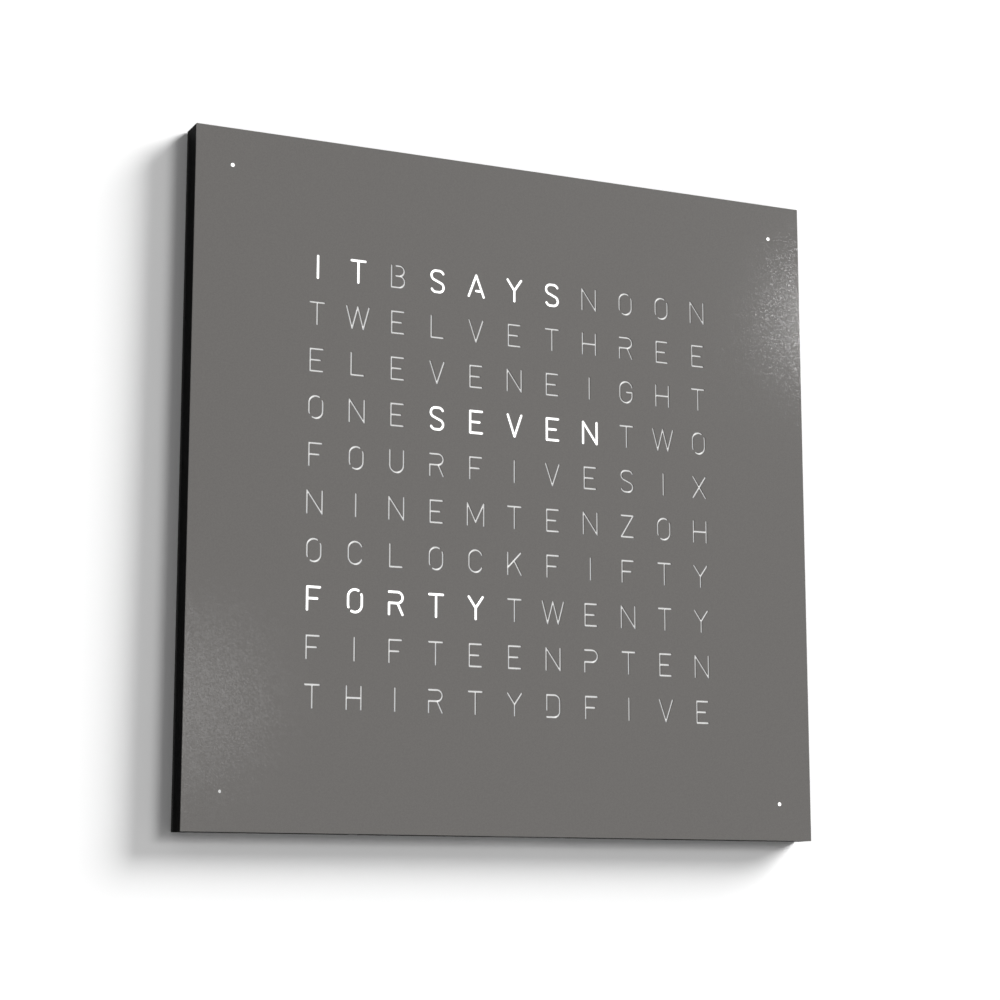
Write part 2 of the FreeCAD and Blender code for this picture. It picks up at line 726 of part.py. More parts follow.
def clock_body():
    board = centred(0, WIDTH, (0, BODY_FRONT), 0, HEIGHT)
    against_wall = [e for e in board.Edges if e.BoundBox.YMin > -FIT]
    board = board.makeFillet(BACK_EDGE_R, against_wall)
    led_pocket = centred(0, LED_BOARD_W + 2 * POCKET_GAP, (BODY_FRONT, LED_BOARD_BACK), 0,
                         LED_BOARD_H + 2 * POCKET_GAP)
    panel_x, panel_z = panel_outline(0)
    tools = [led_pocket, electronics_pocket(), jack_window(), plug_pocket()]
    tools.append(block(panel_x, (0, -PANEL_SINK - PANEL_T), panel_z))
    tools += [hanger_recess(x) for x in hanger_places()]
    tools += [y_rod(DOT_BORE_R, x, z, (BODY_FRONT, LED_BOARD_BACK)) for x, z in dot_places()]
    tools += [lead_bar(sx, sz, 0, LEAD_GROOVE_W, (BODY_FRONT, LED_BOARD_FRONT + FIT)) for sx, sz in CORNERS]
    tools += [y_rod(BUSH_R + FIT, x, z, (BODY_FRONT, BODY_FRONT + BUSH_LENGTH)) for x, z in stud_places()]
    tools += [y_rod(MAGNET_R + FIT, x, z, (BODY_FRONT, BODY_FRONT + MAGNET_SINK + MAGNET_T))
              for x, z in magnet_places()]
    tools += [y_rod(GRID_SCREW_R + FIT, x, z, (LED_BOARD_FRONT, LED_BOARD_BACK + GRID_SCREW_BITE + FIT))
              for x, z in grid_screw_places()]
    tools += [flat_screw_hole(HANGER_SCREW_HEAD_R, HANGER_SCREW_R, HANGER_SCREW_LENGTH, x, z, 0)
              for x, z in hanger_screw_places()]
    tools += [y_rod(PANEL_SCREW_R + FIT, x, z, (0, -PANEL_SINK - PANEL_SCREW_LENGTH - FIT))
              for x, z in panel_screw_places()]
    tools += [y_rod(BOARD_SCREW_R + FIT, x, z, (FIT - POCKET_DEPTH, -POCKET_DEPTH - BOARD_SCREW_BITE - FIT))
              for x, z in board_screw_places()]
    tools += underside_holes()
    return [cut(board, tools)]


def underside_holes():
    plate = block(KEY_PLATE_X, (BUTTON_Y - KEY_PLATE_W / 2, BUTTON_Y + KEY_PLATE_W / 2),
                  (BOTTOM, BOTTOM + KEY_PLATE_T))
    bores = [z_rod(r, x, (BOTTOM, POCKET_FLOOR + FIT)) for x, r in key_bores()]
    threads = [z_rod(KEY_SCREW_R + FIT, x, (BOTTOM, BOTTOM + KEY_SCREW_LENGTH + FIT)) for x in key_screw_xs()]
    return [plate] + bores + threads


def stud_bushes():
    y = (BODY_FRONT, BODY_FRONT + BUSH_LENGTH)
    return [cut(y_rod(BUSH_R, x, z, y), [y_rod(STUD_R + STUD_GAP, x, z, y)]) for x, z in stud_places()]


def holding_magnets():
    face = BODY_FRONT + MAGNET_SINK
    return [y_rod(MAGNET_R, x, z, (face, face + MAGNET_T)) for x, z in magnet_places()]


def key_plate():
    y = (BUTTON_Y - KEY_PLATE_W / 2 + KEY_PLATE_GAP, BUTTON_Y + KEY_PLATE_W / 2 - KEY_PLATE_GAP)
    x = (KEY_PLATE_X[0] + KEY_PLATE_GAP, KEY_PLATE_X[1] - KEY_PLATE_GAP)
    top = BOTTOM + KEY_PLATE_T
    holes = [z_rod(r, bore_x, (BOTTOM, top)) for bore_x, r in key_bores()]
    holes += [upwards(flat_screw_hole(KEY_SCREW_HEAD_R, KEY_SCREW_R, KEY_SCREW_LENGTH, 0, 0, 0), screw_x)
              for screw_x in key_screw_xs()]
    return [cut(block(x, y, (BOTTOM, top)), holes)]


def upwards(shape, x):
    """A shape that points along -Y from the origin, turned to point up into the underside at x."""
    shape.rotate(at(0, 0, 0), X_AXIS, -90)
    shape.translate(at(x, BUTTON_Y, BOTTOM))
    return shape


def key_plate_screws():
    return [upwards(flat_screw(KEY_SCREW_HEAD_R, KEY_SCREW_R, KEY_SCREW_LENGTH, 0, 0, 0), x)
            for x in key_screw_xs()]


# ---- hangers ----

def hanger_plate(x):
    plate = centred(x, HANGER_W, (0, -HANGER_T), HANGER_Z, HANGER_H)
    entry_z = HANGER_Z - KEYHOLE_DROP
    slot = [y_rod(KEYHOLE_SLOT_R, x, entry_z + KEYHOLE_RISE, (0, -HANGER_T)),
            centred(x, 2 * KEYHOLE_SLOT_R, (0, -HANGER_T), entry_z + KEYHOLE_RISE / 2, KEYHOLE_RISE)]
    holes = [join([y_rod(KEYHOLE_R, x, entry_z, (0, -HANGER_T))] + slot)]
    holes += [flat_screw_hole(HANGER_SCREW_HEAD_R, HANGER_SCREW_R, HANGER_SCREW_LENGTH, sx, sz, 0)
              for sx, sz in hanger_screw_places() if abs(sx - x) < HANGER_W / 2]
    return [cut(plate, holes)]


def hanger_screws():
    return [flat_screw(HANGER_SCREW_HEAD_R, HANGER_SCREW_R, HANGER_SCREW_LENGTH, x, z, 0)
            for x, z in hanger_screw_places()]


# ---- light ----

def light_grid():
    y = (GRID_FRONT, LED_BOARD_FRONT)
    upright = [centred((i - COLUMNS / 2) * COLUMN_PITCH, GRID_WALL, y, 0, GRID_H) for i in range(COLUMNS + 1)]
    level = [centred(0, GRID_W, y, (i - len(ROWS) / 2) * ROW_PITCH, GRID_WALL) for i in range(len(ROWS) + 1)]
    bosses = [y_rod(BOSS_R, x, z, y) for x, z in grid_screw_places()]
    sink = (GRID_FRONT, GRID_FRONT + GRID_SCREW_SINK + GRID_SCREW_HEAD)
    holes = []
    for x, z in grid_screw_places():
        holes.append(y_rod(GRID_SCREW_R + SCREW_ROOM, x, z, y))
        holes.append(y_rod(GRID_SCREW_HEAD_R + SCREW_ROOM, x, z, sink))
    return [cut(join(upright + level + bosses), holes)]


def pan_screw(head_r, head, shank_r, x, z, face, way, tip):
    """A screw with a flat round head: face is the head's outer face, and tip the Y of its point."""
    top = y_rod(head_r, x, z, (face, face + way * head))
    shank = y_rod(shank_r, x, z, (face, tip))
    return cut(join([top, shank]), [cross_slot(head_r, head / 2, x, z, face, way)])


def grid_screws():
    return [pan_screw(GRID_SCREW_HEAD_R, GRID_SCREW_HEAD, GRID_SCREW_R, x, z, GRID_FRONT + GRID_SCREW_SINK, 1,
                      LED_BOARD_BACK + GRID_SCREW_BITE) for x, z in grid_screw_places()]


def led_board():
    board = centred(0, LED_BOARD_W, (LED_BOARD_FRONT, LED_BOARD_BACK), 0, LED_BOARD_H)
    return [cut(board, [y_rod(GRID_SCREW_R + SCREW_ROOM, x, z, (LED_BOARD_FRONT, LED_BOARD_BACK))
                        for x, z in grid_screw_places()])]


def led_package(x, z, size, level):
    """A square package with a round window sunk in its face."""
    face = level - LED_THICK
    body = centred(x, size, (face, level), z, size)
    window = Part.makeCone(size * LED_WINDOW, size * LED_WELL, LED_THICK / 3, at(x, face, z), Y_AXIS)
    return cut(body, [window])


def led_packages():
    return [led_package(*cell_centre(column, row), LED_SIZE, LED_BOARD_FRONT) for column, row in cells()]


def led_drivers():
    x = CONNECTOR_W / 2 + DRIVER_GAP + DRIVER_SIZE[0] / 2
    y = (LED_BOARD_BACK, LED_BOARD_BACK + DRIVER_SIZE[1])
    return [centred(s * x, DRIVER_SIZE[0], y, LED_CONNECTOR_Z, DRIVER_SIZE[2]) for s in (-1, 1)]


def dot_boards():
    return [y_rod(DOT_BOARD_R, x, z, (LED_BOARD_FRONT, LED_BOARD_BACK)) for x, z in dot_places()]


def dot_leds():
    return [led_package(x, z, DOT_LED_SIZE, LED_BOARD_FRONT) for x, z in dot_places()]


def dot_reflectors():
    """White tubes that stand on the dot boards, each with a notch for its lead."""
    y = (FILM_BACK + REFLECTOR_GAP, LED_BOARD_FRONT)
    outer = DOT_BORE_R - REFLECTOR_GAP
    notch_y = (LED_BOARD_FRONT - LEAD_T - REFLECTOR_GAP, LED_BOARD_FRONT)
    tubes = []
    for sx, sz in CORNERS:
        x, z = sx * DOT_X, sz * DOT_Z
        notch = lead_bar(sx, sz, 0, LEAD_W + 2 * REFLECTOR_GAP, notch_y)
        tubes.append(cut(y_rod(outer, x, z, y), [y_rod(outer - REFLECTOR_WALL, x, z, y), notch]))
    return tubes


def dot_leads():
    """Flat leads that lie on the LED board's corners and on the dot boards."""
    y = (LED_BOARD_FRONT - LEAD_T, LED_BOARD_FRONT)
    return [lead_bar(sx, sz, DOT_BOARD_R - LEAD_OVERLAP, LEAD_W, y) for sx, sz in CORNERS]


# ---- electronics ----

def back_panel():
    x, z = panel_outline(PANEL_GAP)
    holes = [flat_screw_hole(PANEL_SCREW_HEAD_R, PANEL_SCREW_R, PANEL_SCREW_LENGTH, sx, sz, -PANEL_SINK)
             for sx, sz in panel_screw_places()]
    return [cut(block(x, (-PANEL_SINK, -PANEL_SINK - PANEL_T), z), holes)]


def back_panel_screws():
    return [flat_screw(PANEL_SCREW_HEAD_R, PANEL_SCREW_R, PANEL_SCREW_LENGTH, x, z, -PANEL_SINK)
            for x, z in panel_screw_places()]


def control_board():
    board = centred(0, CONTROL_W, (CONTROL_BACK - BOARD, CONTROL_BACK), (CONTROL_TOP + CONTROL_BOTTOM) / 2,
                    CONTROL_H)
    return [cut(board, [y_rod(BOARD_SCREW_R + SCREW_ROOM, x, z, (CONTROL_BACK - BOARD, CONTROL_BACK))
                        for x, z in board_screw_places()])]


def board_spacers():
    y = (-POCKET_DEPTH, -POCKET_DEPTH + SPACER_H)
    return [cut(y_rod(SPACER_R, x, z, y), [y_rod(BOARD_SCREW_R + SCREW_ROOM, x, z, y)])
            for x, z in board_screw_places()]


def board_screws():
    face = CONTROL_BACK + BOARD_SCREW_HEAD
    return [pan_screw(BOARD_SCREW_HEAD_R, BOARD_SCREW_HEAD, BOARD_SCREW_R, x, z, face, -1,
                      -POCKET_DEPTH - BOARD_SCREW_BITE) for x, z in board_screw_places()]


def leg(x, z, size, side, along):
    """One leg of a chip: side is the way it points, and along its place on that side."""
    out = LEG_REACH / 2
    y = (CONTROL_BACK, CONTROL_BACK + LEG_T)
    if side[0]:
        return centred(x + side[0] * (size[0] / 2 + out), LEG_REACH, y, z + along, LEG_W)
    return centred(x + along, LEG_W, y, z + side[1] * (size[2] / 2 + out), LEG_REACH)


def chip(size, place, legs, sides):
    """A chip with a dimple at its first leg, and legs along each side that is named by its direction."""
    x, z = on_board(place)
    top = CONTROL_BACK + size[1]
    body = centred(x, size[0], (CONTROL_BACK + CHIP_LIFT, top), z, size[2])
    mark = y_rod(CHIP_MARK_R, x - size[0] / 2 + CHIP_MARK_INSET, z + size[2] / 2 - CHIP_MARK_INSET,
                 (top - CHIP_LIFT, top))
    shapes = [cut(body, [mark])]
    for side in sides:
        pitch = (size[2] if side[0] else size[0]) / (legs + 1)
        shapes += [leg(x, z, size, side, (i + 0.5 - legs / 2) * pitch) for i in range(legs)]
    return [join(shapes)]


def microcontroller():
    return chip(CHIP_SIZE, CHIP_AT, 8, ((1, 0), (-1, 0), (0, 1), (0, -1)))


def clock_chip():
    return chip(CLOCK_CHIP_SIZE, CLOCK_CHIP_AT, 4, ((0, 1), (0, -1)))


def coin_cell_holder():
    x, z = on_board(CELL_AT)
    outer = CELL_R + CELL_GAP + HOLDER_WALL
    floor = CONTROL_BACK + HOLDER_FLOOR
    y = (floor, floor + CELL_T)
    well = y_rod(CELL_R + CELL_GAP, x, z, y)
    mouth = centred(x, CELL_R, y, z + outer, CELL_R)
    return [cut(y_rod(outer, x, z, (CONTROL_BACK, y[1])), [well, mouth])]


def coin_cell():
    x, z = on_board(CELL_AT)
    low = CONTROL_BACK + HOLDER_FLOOR
    can = y_rod(CELL_R, x, z, (low + CELL_RIM, low + CELL_T))
    return [join([can, y_rod(CELL_R - CELL_CAP_INSET, x, z, (low, low + CELL_RIM))])]


def dc_jack():
    x = (JACK_MOUTH_X, JACK_MOUTH_X + JACK_LENGTH)
    body = block(x, (CONTROL_BACK, CONTROL_BACK + JACK_H), (JACK_Z - JACK_W / 2, JACK_Z + JACK_W / 2))
    bore = rod(JACK_BORE_R, at(x[0], JACK_Y, JACK_Z), at(x[0] + JACK_BORE_DEPTH, JACK_Y, JACK_Z))
    return [cut(body, [bore])]


def dc_jack_pin():
    x = (JACK_MOUTH_X + JACK_PIN_SINK, JACK_MOUTH_X + JACK_BORE_DEPTH)
    return [rod(JACK_PIN_R, at(x[0], JACK_Y, JACK_Z), at(x[1], JACK_Y, JACK_Z))]


def power_parts():
    """Two capacitors and the coil of the supply, beside the inlet."""
    foot = CONTROL_BACK + CAPACITOR_FOOT
    parts = []
    for place in CAPACITORS_AT:
        x, z = on_board(place)
        can = y_rod(CAPACITOR_R, x, z, (foot, CONTROL_BACK + CAPACITOR_H))
        parts.append(join([can, centred(x, 2 * CAPACITOR_R, (CONTROL_BACK, foot), z, 2 * CAPACITOR_R)]))
    x, z = on_board(COIL_AT)
    top = CONTROL_BACK + COIL_SIZE[1]
    coil = centred(x, COIL_SIZE[0], (CONTROL_BACK, top), z, COIL_SIZE[2])
    return parts + [cut(coil, [y_rod(COIL_WELL_R, x, z, (top - COIL_WELL, top))])]


def connector(z, level, way):
    """A box header with a slit for the ribbon; way says on which side of its foot it stands."""
    body = centred(0, CONNECTOR_W, (level, level + CONNECTOR_H), z + way * CONNECTOR_L / 2, CONNECTOR_L)
    half = RIBBON_T / 2 + SLIT_GAP
    slit = (level + RIBBON_HEIGHT - half, level + RIBBON_HEIGHT + half)
    depth = RIBBON_PLUG + SLIT_GAP
    mouth = centred(0, RIBBON_W + 2 * SLIT_GAP, slit, z + way * (CONNECTOR_L - depth / 2), depth)
    return [cut(body, [mouth])]


def led_ribbon():
    """A flat cable up from the control board's connector, into the LED board's connector from below."""
    low, high = CONTROL_BACK + RIBBON_HEIGHT, LED_BOARD_BACK + RIBBON_HEIGHT
    mouth = BOARD_CONNECTOR_Z + CONNECTOR_L
    path = [
        at(0, low, mouth - RIBBON_PLUG),
        at(0, low, mouth + RIBBON_STRAIGHT),
        at(0, high, POCKET_TOP - RIBBON_CLEAR),
        at(0, high, LED_CONNECTOR_Z - CONNECTOR_L + RIBBON_PLUG),
    ]
    outline = Part.makePolygon(path).makeOffset2D(RIBBON_T / 2)
    ribbon = Part.Face(outline).extrude(at(RIBBON_W, 0, 0))
    ribbon.translate(at(-RIBBON_W / 2, 0, 0))
    return [ribbon]


# ---- buttons and light sensor ----

def switch_bodies():
    bodies = []
    for x in BUTTON_XS:
        body = block((x - SWITCH_W / 2, x + SWITCH_W / 2), (CONTROL_BACK, CONTROL_BACK + SWITCH_H),
                     (CONTROL_BOTTOM, CONTROL_BOTTOM + SWITCH_LENGTH))
        bore = (CONTROL_BOTTOM, CONTROL_BOTTOM + PLUNGER_BORE_DEPTH)
        bodies.append(cut(body, [z_rod(PLUNGER_R + PLUNGER_GAP, x, bore)]))
    return bodies


def switch_plunger(x):
    low = CONTROL_BOTTOM - PLUNGER_OUT
    high = CONTROL_BOTTOM + PLUNGER_BORE_DEPTH - BUTTON_TRAVEL - PLUNGER_GAP
    return [z_rod(PLUNGER_R, x, (low, high))]


def button_cap(x):
    """A round key with a flange behind the underside's wall; its top stands on the switch's plunger."""
    low = BOTTOM + BUTTON_SINK
    flange = POCKET_FLOOR + BUTTON_GAP
    spans = ((BUTTON_R, low, flange + FLANGE_T), (BUTTON_R + FLANGE_LIP, flange, flange + FLANGE_T),
             (PLUNGER_R, flange, CONTROL_BOTTOM - PLUNGER_OUT))
    solid = join([z_rod(r, x, (start, end)) for r, start, end in spans])
    return [cut(solid, [Part.makeSphere(DISH_R, at(x, BUTTON_Y, low + DISH - DISH_R))])]


def light_sensor():
    """A small sensor on a foot that brings it in line with the light pipe."""
    width, thick, length = SENSOR_SIZE
    x = (PIPE_X - width / 2, PIPE_X + width / 2)
    z = (CONTROL_BOTTOM, CONTROL_BOTTOM + length)
    return [block(x, (BUTTON_Y - thick / 2, BUTTON_Y + thick / 2), z),
            block(x, (CONTROL_BACK, BUTTON_Y - thick / 2), z)]


def sensor_light_pipe():
    pipe = z_rod(PIPE_R, PIPE_X, (BOTTOM + BUTTON_SINK, CONTROL_BOTTOM - PIPE_GAP))
    collar = z_rod(PIPE_R + PIPE_COLLAR, PIPE_X, (POCKET_FLOOR, POCKET_FLOOR + PIPE_COLLAR))
    return [join([pipe, collar])]


def parts():
    made = {
        "front_cover": [front_cover()],
        "locating_studs": locating_studs(),
        "diffuser_film": diffuser_film(),
        "dot_diffusers": dot_diffusers(),
        "clock_body": clock_body(),
        "stud_bushes": stud_bushes(),
        "holding_magnets": holding_magnets(),
        "light_grid": light_grid(),
        "grid_screws": grid_screws(),
        "led_board": led_board(),
        "led_packages": led_packages(),
        "led_drivers": led_drivers(),
        "dot_boards": dot_boards(),
        "dot_leds": dot_leds(),
        "dot_reflectors": dot_reflectors(),
        "dot_leads": dot_leads(),
        "hanger_screws": hanger_screws(),
        "back_panel": back_panel(),
        "back_panel_screws": back_panel_screws(),
        "control_board": control_board(),
        "board_spacers": board_spacers(),
        "board_screws": board_screws(),
        "microcontroller": microcontroller(),
        "clock_chip": clock_chip(),
        "coin_cell_holder": coin_cell_holder(),
        "coin_cell": coin_cell(),
        "dc_jack": dc_jack(),
        "dc_jack_pin": dc_jack_pin(),
        "power_parts": power_parts(),
        "board_connector": connector(BOARD_CONNECTOR_Z, CONTROL_BACK, 1),
        "led_connector": connector(LED_CONNECTOR_Z, LED_BOARD_BACK, -1),
        "led_ribbon": led_ribbon(),
        "switch_bodies": switch_bodies(),
        "light_sensor": light_sensor(),
        "sensor_light_pipe": sensor_light_pipe(),
        "key_plate": key_plate(),
        "key_plate_screws": key_plate_screws(),
    }
    for side, x in zip(("left", "right"), hanger_places()):
        made["hanger_plate_" + side] = hanger_plate(x)
    for name, x in zip(BUTTONS, BUTTON_XS):
        made["button_cap_" + name] = button_cap(x)
        made["switch_plunger_" + name] = switch_plunger(x)
    return made


os.makedirs("parts", exist_ok=True)
for node, solids in parts().items():
    Part.makeCompound(solids).exportStep(os.path.join("parts", node + ".step"))
    print(node, len(solids), all(s.isValid() for s in solids), round(sum(s.Volume for s in solids), 2))
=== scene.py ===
import math

import bmesh
import bpy
from mathutils import Matrix, Vector


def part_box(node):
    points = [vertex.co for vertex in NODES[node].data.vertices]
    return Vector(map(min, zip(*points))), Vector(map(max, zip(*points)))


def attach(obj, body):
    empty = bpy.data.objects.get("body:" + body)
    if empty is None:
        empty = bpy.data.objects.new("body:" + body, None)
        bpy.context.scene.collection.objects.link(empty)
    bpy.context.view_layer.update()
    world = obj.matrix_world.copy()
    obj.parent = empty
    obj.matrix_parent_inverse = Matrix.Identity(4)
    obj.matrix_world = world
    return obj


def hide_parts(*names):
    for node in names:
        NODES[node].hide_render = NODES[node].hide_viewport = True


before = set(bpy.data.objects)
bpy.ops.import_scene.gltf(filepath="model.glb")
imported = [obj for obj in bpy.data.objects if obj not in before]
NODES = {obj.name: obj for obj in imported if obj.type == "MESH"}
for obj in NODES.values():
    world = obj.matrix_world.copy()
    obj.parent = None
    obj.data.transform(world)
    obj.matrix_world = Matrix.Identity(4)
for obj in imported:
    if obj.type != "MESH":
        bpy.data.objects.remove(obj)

bl_info = {
    "name": "Word clock",
    "version": (1, 0, 0),
    "blender": (4, 5, 0),
    "location": "View3D > Sidebar > Word clock",
    "description": "Finishes and fine details of a magnetic-cover word clock",
    "category": "Add Mesh",
}

MM = 0.001
COLUMNS, ROWS = 11, 10
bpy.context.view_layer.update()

FACING_FRONT = -0.9         # the Y of its normal is below this on a face that looks forward
SAME_PLACE = 0.001 * MM     # corners nearer than this are one
SAME_POINT = 1e-5           # the same, in a shape that is still in millimetres
LETTER_REACH = 11 * MM      # from the middle of a letter or dot to past its strokes
DOT_BOARD_RADIUS = 6.6 * MM
DOT_FILM_RADIUS = 5.5 * MM
CORE_PITCH = 1.27           # of the flat cable and of the pins in its sockets, in millimetres
CORES = 12
WHITE = (1.0, 1.0, 1.0, 1.0)

FACET_LEAN = 0.019          # range of the slopes on the bumps of the powder coat
COAT_SHINE = 0.5            # clear gloss on the shiniest bump
COAT_TONE = 0.063           # share by which a dull bump is paler, and a shiny one darker
RIM_GLOW_PAINTED = 1.0             # painted glow of the coat's rim round a lit letter: the coat is no lamp
DARK_CELL_PAINTED_GLOW = 0.52            # painted glow of the film over a dark cell, which has no lamp on behind it
CELL_HELD = 0.5             # share of the room's light that the film over a dark cell sends back
LAMP_GLOW = 6.0             # glow of a driven lamp's phosphor

# Each lamp's name, the way to it, the level at which it lights the front, and its width in degrees.
LAMPS = (
    ("key", (2.04, -1.0, 1.36), 0.592, 29.5),
    ("side", (0.45, -1.0, 0.23), 0.21, 18),
    ("glint", (0.668, -1.0, 0.308), 0.0206, 3.0),
    ("low_glint", (0.309, -1.0, 0.094), 0.0056, 3.7),
    ("back", (0.9, 1.0, 1.0), 0.6, 40))
UNSEEN_IN_GLOSS = ("side", "back")
ROOM_LEVEL = 0.267          # light of the room's white air on the object; seen, the air has 1
WALL_Y, WALL_SIZE = 0.4 * MM, 12
FLOOR_Z, FLOOR_SIZE = -1.5, 24
SEEN_FROM = 5 * MM          # a gloss that starts nearer to the wall or floor doesn't show it
LENS, SENSOR = 84.9, 36.0
CAMERA_PLACE = (-0.6581, -1.4137, -0.2763)
CAMERA_TURN = (100.027, 0, -24.915)


# ---- sizes and colours ----

def length(name, description, default):
    """A size in metres that a user can change."""
    return bpy.props.FloatProperty(name=name, description=description, default=default, min=0, precision=5,
                                   subtype="DISTANCE", unit="LENGTH")


def paint(name, description, code):
    """A colour that a user can change, written as an sRGB hex value."""
    return bpy.props.FloatVectorProperty(name=name, description=description, default=linear(code), size=4,
                                         min=0, max=1, subtype="COLOR")


def linear(code):
    """An sRGB hex value as linear red, green and blue, with an alpha of 1."""
    shares = [int(code[i:i + 2], 16) / 255 for i in (1, 3, 5)]
    return tuple(c / 12.92 if c <= 0.04045 else ((c + 0.055) / 1.055) ** 2.4 for c in shares) + (1.0,)


class ClockSizes(bpy.types.PropertyGroup):
    column_pitch: length("Column pitch", "Distance from one letter to the next in a row", 28.2 * MM)
    row_pitch: length("Row pitch", "Distance from one row of letters to the next", 31.0 * MM)
    coat_grain: length("Coat grain", "Width of the bumps in the cover's powder coat", 0.65 * MM)
    # The width of the painted glow on the coat round a lit letter.
    painted_glow_rim_width: length("Rim light", "Width of the lit rim round a lit letter", 0.22 * MM)
    board_fibre: length("Board fibre", "Width of the fibres under the body's lacquer", 0.9 * MM)


class ClockColours(bpy.types.PropertyGroup):
    coat: paint("Cover coat", "Powder coat on the steel cover", "#666462")
    lacquer: paint("Body lacquer", "Lacquer on the fibreboard body", "#050505")
    film: paint("Diffuser", "Opal film behind the letters", "#EDEDEA")


class ClockLight(bpy.types.PropertyGroup):
    lit_words: bpy.props.StringProperty(
        name="Lit words", default="1:1-2 1:4-7 4:4-8 8:1-5",
        description="Each lit word as row:first-last, with rows and letters counted from the top left")
    lit_dots: bpy.props.IntProperty(
        name="Lit dots", description="Minutes past the words, shown clockwise from the top left", default=3,
        min=0, max=4)
    glow: bpy.props.FloatProperty(name="Glow", description="Brightness of a lit letter", default=1.6, min=0)


# ---- small tools ----

def add(tree, kind, inputs=None, **settings):
    """Adds one shader node: settings are its own, inputs are numbers, colours or other nodes' outputs. A Mix
    node takes two numbers in 2 and 3, or two colours in 6 and 7."""
    node = tree.nodes.new("ShaderNode" + kind)
    for name, value in settings.items():
        setattr(node, name, value)
    for name, value in (inputs or {}).items():
        if isinstance(value, bpy.types.NodeSocket):
            tree.links.new(value, node.inputs[name])
        else:
            node.inputs[name].default_value = value
    return node


def empty_material(name):
    """A new material and its empty node tree."""
    made = bpy.data.materials.new(name)
    made.use_nodes = True
    made.node_tree.nodes.clear()
    return made, made.node_tree


def dress(names, *materials):
    """Gives CAD pieces their finish."""
    for name in names.split():
        for i in range(len(NODES[name].material_slots)):
            NODES[name].material_slots[i].material = materials[min(i, len(materials) - 1)]


def place_piece(name, shape, body, materials, replaces=(), scale=1.0):
    """Makes a finished bmesh a piece that rides on a body and takes its finish from a slot."""
    mesh = bpy.data.meshes.new(name)
    bmesh.ops.scale(shape, verts=shape.verts, vec=(scale, scale, scale))
    shape.to_mesh(mesh)
    shape.free()
    for material in materials:
        mesh.materials.append(material)
    piece = bpy.data.objects.new(name, mesh)
    bpy.context.scene.collection.objects.link(piece)
    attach(piece, body)
    if replaces:
        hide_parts(*replaces)
    return piece


def block(shape, low, high, material=0, edge=0.0):
    """Adds a box between two opposite corners, in millimetres, with its edges rounded by edge."""
    old = set(shape.faces)
    low, high = (Vector(map(pick, low, high)) for pick in (min, max))
    verts = bmesh.ops.create_cube(shape, size=1, matrix=Matrix.Translation((low + high) / 2)
                                  @ Matrix.Diagonal((*(high - low), 1)))["verts"]
    if edge:
        bmesh.ops.bevel(shape, geom=list({e for v in verts for e in v.link_edges}), offset=edge, segments=2,
                        profile=0.5, affect="EDGES", material=-1)
    for face in [f for f in shape.faces if f not in old]:
        face.material_index = material


def turned(shape, profile, place, way=(0, -1, 0), material=0, steps=32):
    """Spins (radius, height) pairs, in millimetres, into a round shape that stands on place and points along
    way."""
    old = set(shape.faces)
    verts = [shape.verts.new((radius, 0, height)) for radius, height in profile]
    edges = [shape.edges.new(pair) for pair in zip(verts, verts[1:])]
    bmesh.ops.spin(shape, geom=verts + edges, axis=(0, 0, 1), angle=math.tau, steps=steps, use_merge=True)
    points = {v for f in shape.faces if f not in old for v in f.verts}
    bmesh.ops.remove_doubles(shape, verts=list(points), dist=SAME_POINT)
    made = [f for f in shape.faces if f not in old]
    turn = Vector(way).to_track_quat("Z", "Y").to_matrix().to_4x4()
    bmesh.ops.transform(shape, verts=list({v for f in made for v in f.verts}),
                        matrix=Matrix.Translation(place) @ turn)
    bmesh.ops.recalc_face_normals(shape, faces=made)
    for face in made:
        face.material_index = material


def copies(shape, pattern, places):
    """Adds a copy of a small bmesh at each place, in millimetres, and frees it."""
    mesh, last = bpy.data.meshes.new("pattern"), Vector()
    pattern.to_mesh(mesh)
    pattern.free()
    for place in map(Vector, places):
        mesh.transform(Matrix.Translation(place - last))
        shape.from_mesh(mesh)
        last = place
    bpy.data.meshes.remove(mesh)


def chip(shape, foot, size, reach, legs, pitch, sides):
    """Adds a chip standing on foot: a moulded body, a dimple by its first leg, and legs bent down along two
    or four sides. reach is its width over the legs."""
    width, height, deep = size
    thick = 0.15
    old = set(shape.verts)
    block(shape, (-width / 2, 0.1, -deep / 2), (width / 2, height, deep / 2), 0, 0.12)
    turned(shape, [(0, 0.01), (0.35, 0.01), (0.35, -0.05), (0, -0.05)],
           (-width / 2 + 0.9, height, deep / 2 - 0.9), (0, 1, 0), 0, 12)
    for axis in sides:
        run = width if axis == "X" else deep
        for side in (-1, 1):
            for i in range(legs):
                along = (i - (legs - 1) / 2) * pitch
                knee, level = (run + reach) / 4, height * 0.45
                for low, high in (((run / 2 - 0.1, level), (knee, level + thick)),
                                  ((knee - thick, 0.0), (knee, level + thick)),
                                  ((knee - thick, 0.0), (reach / 2, thick))):
                    ends = [(side * out, up, along + edge * pitch / 5)
                            for (out, up), edge in ((low, -1), (high, 1))]
                    block(shape, *(p if axis == "X" else (p[2], p[1], p[0]) for p in ends), 1)
    bmesh.ops.translate(shape, verts=[v for v in shape.verts if v not in old], vec=foot)


def box_mm(name):
    """Lowest and highest corner of a CAD piece in millimetres."""
    return [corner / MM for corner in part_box(name)]


def settings(context):
    """The sizes, colours and light that a user can change."""
    scene = context.scene
    return scene.clock_sizes, scene.clock_colours, scene.clock_light


def cell_middle(sizes, column, row):
    """X and Z of a letter's middle, with columns and rows counted from 0 at the top left."""
    return ((column - (COLUMNS - 1) / 2) * sizes.column_pitch, ((ROWS - 1) / 2 - row) * sizes.row_pitch)


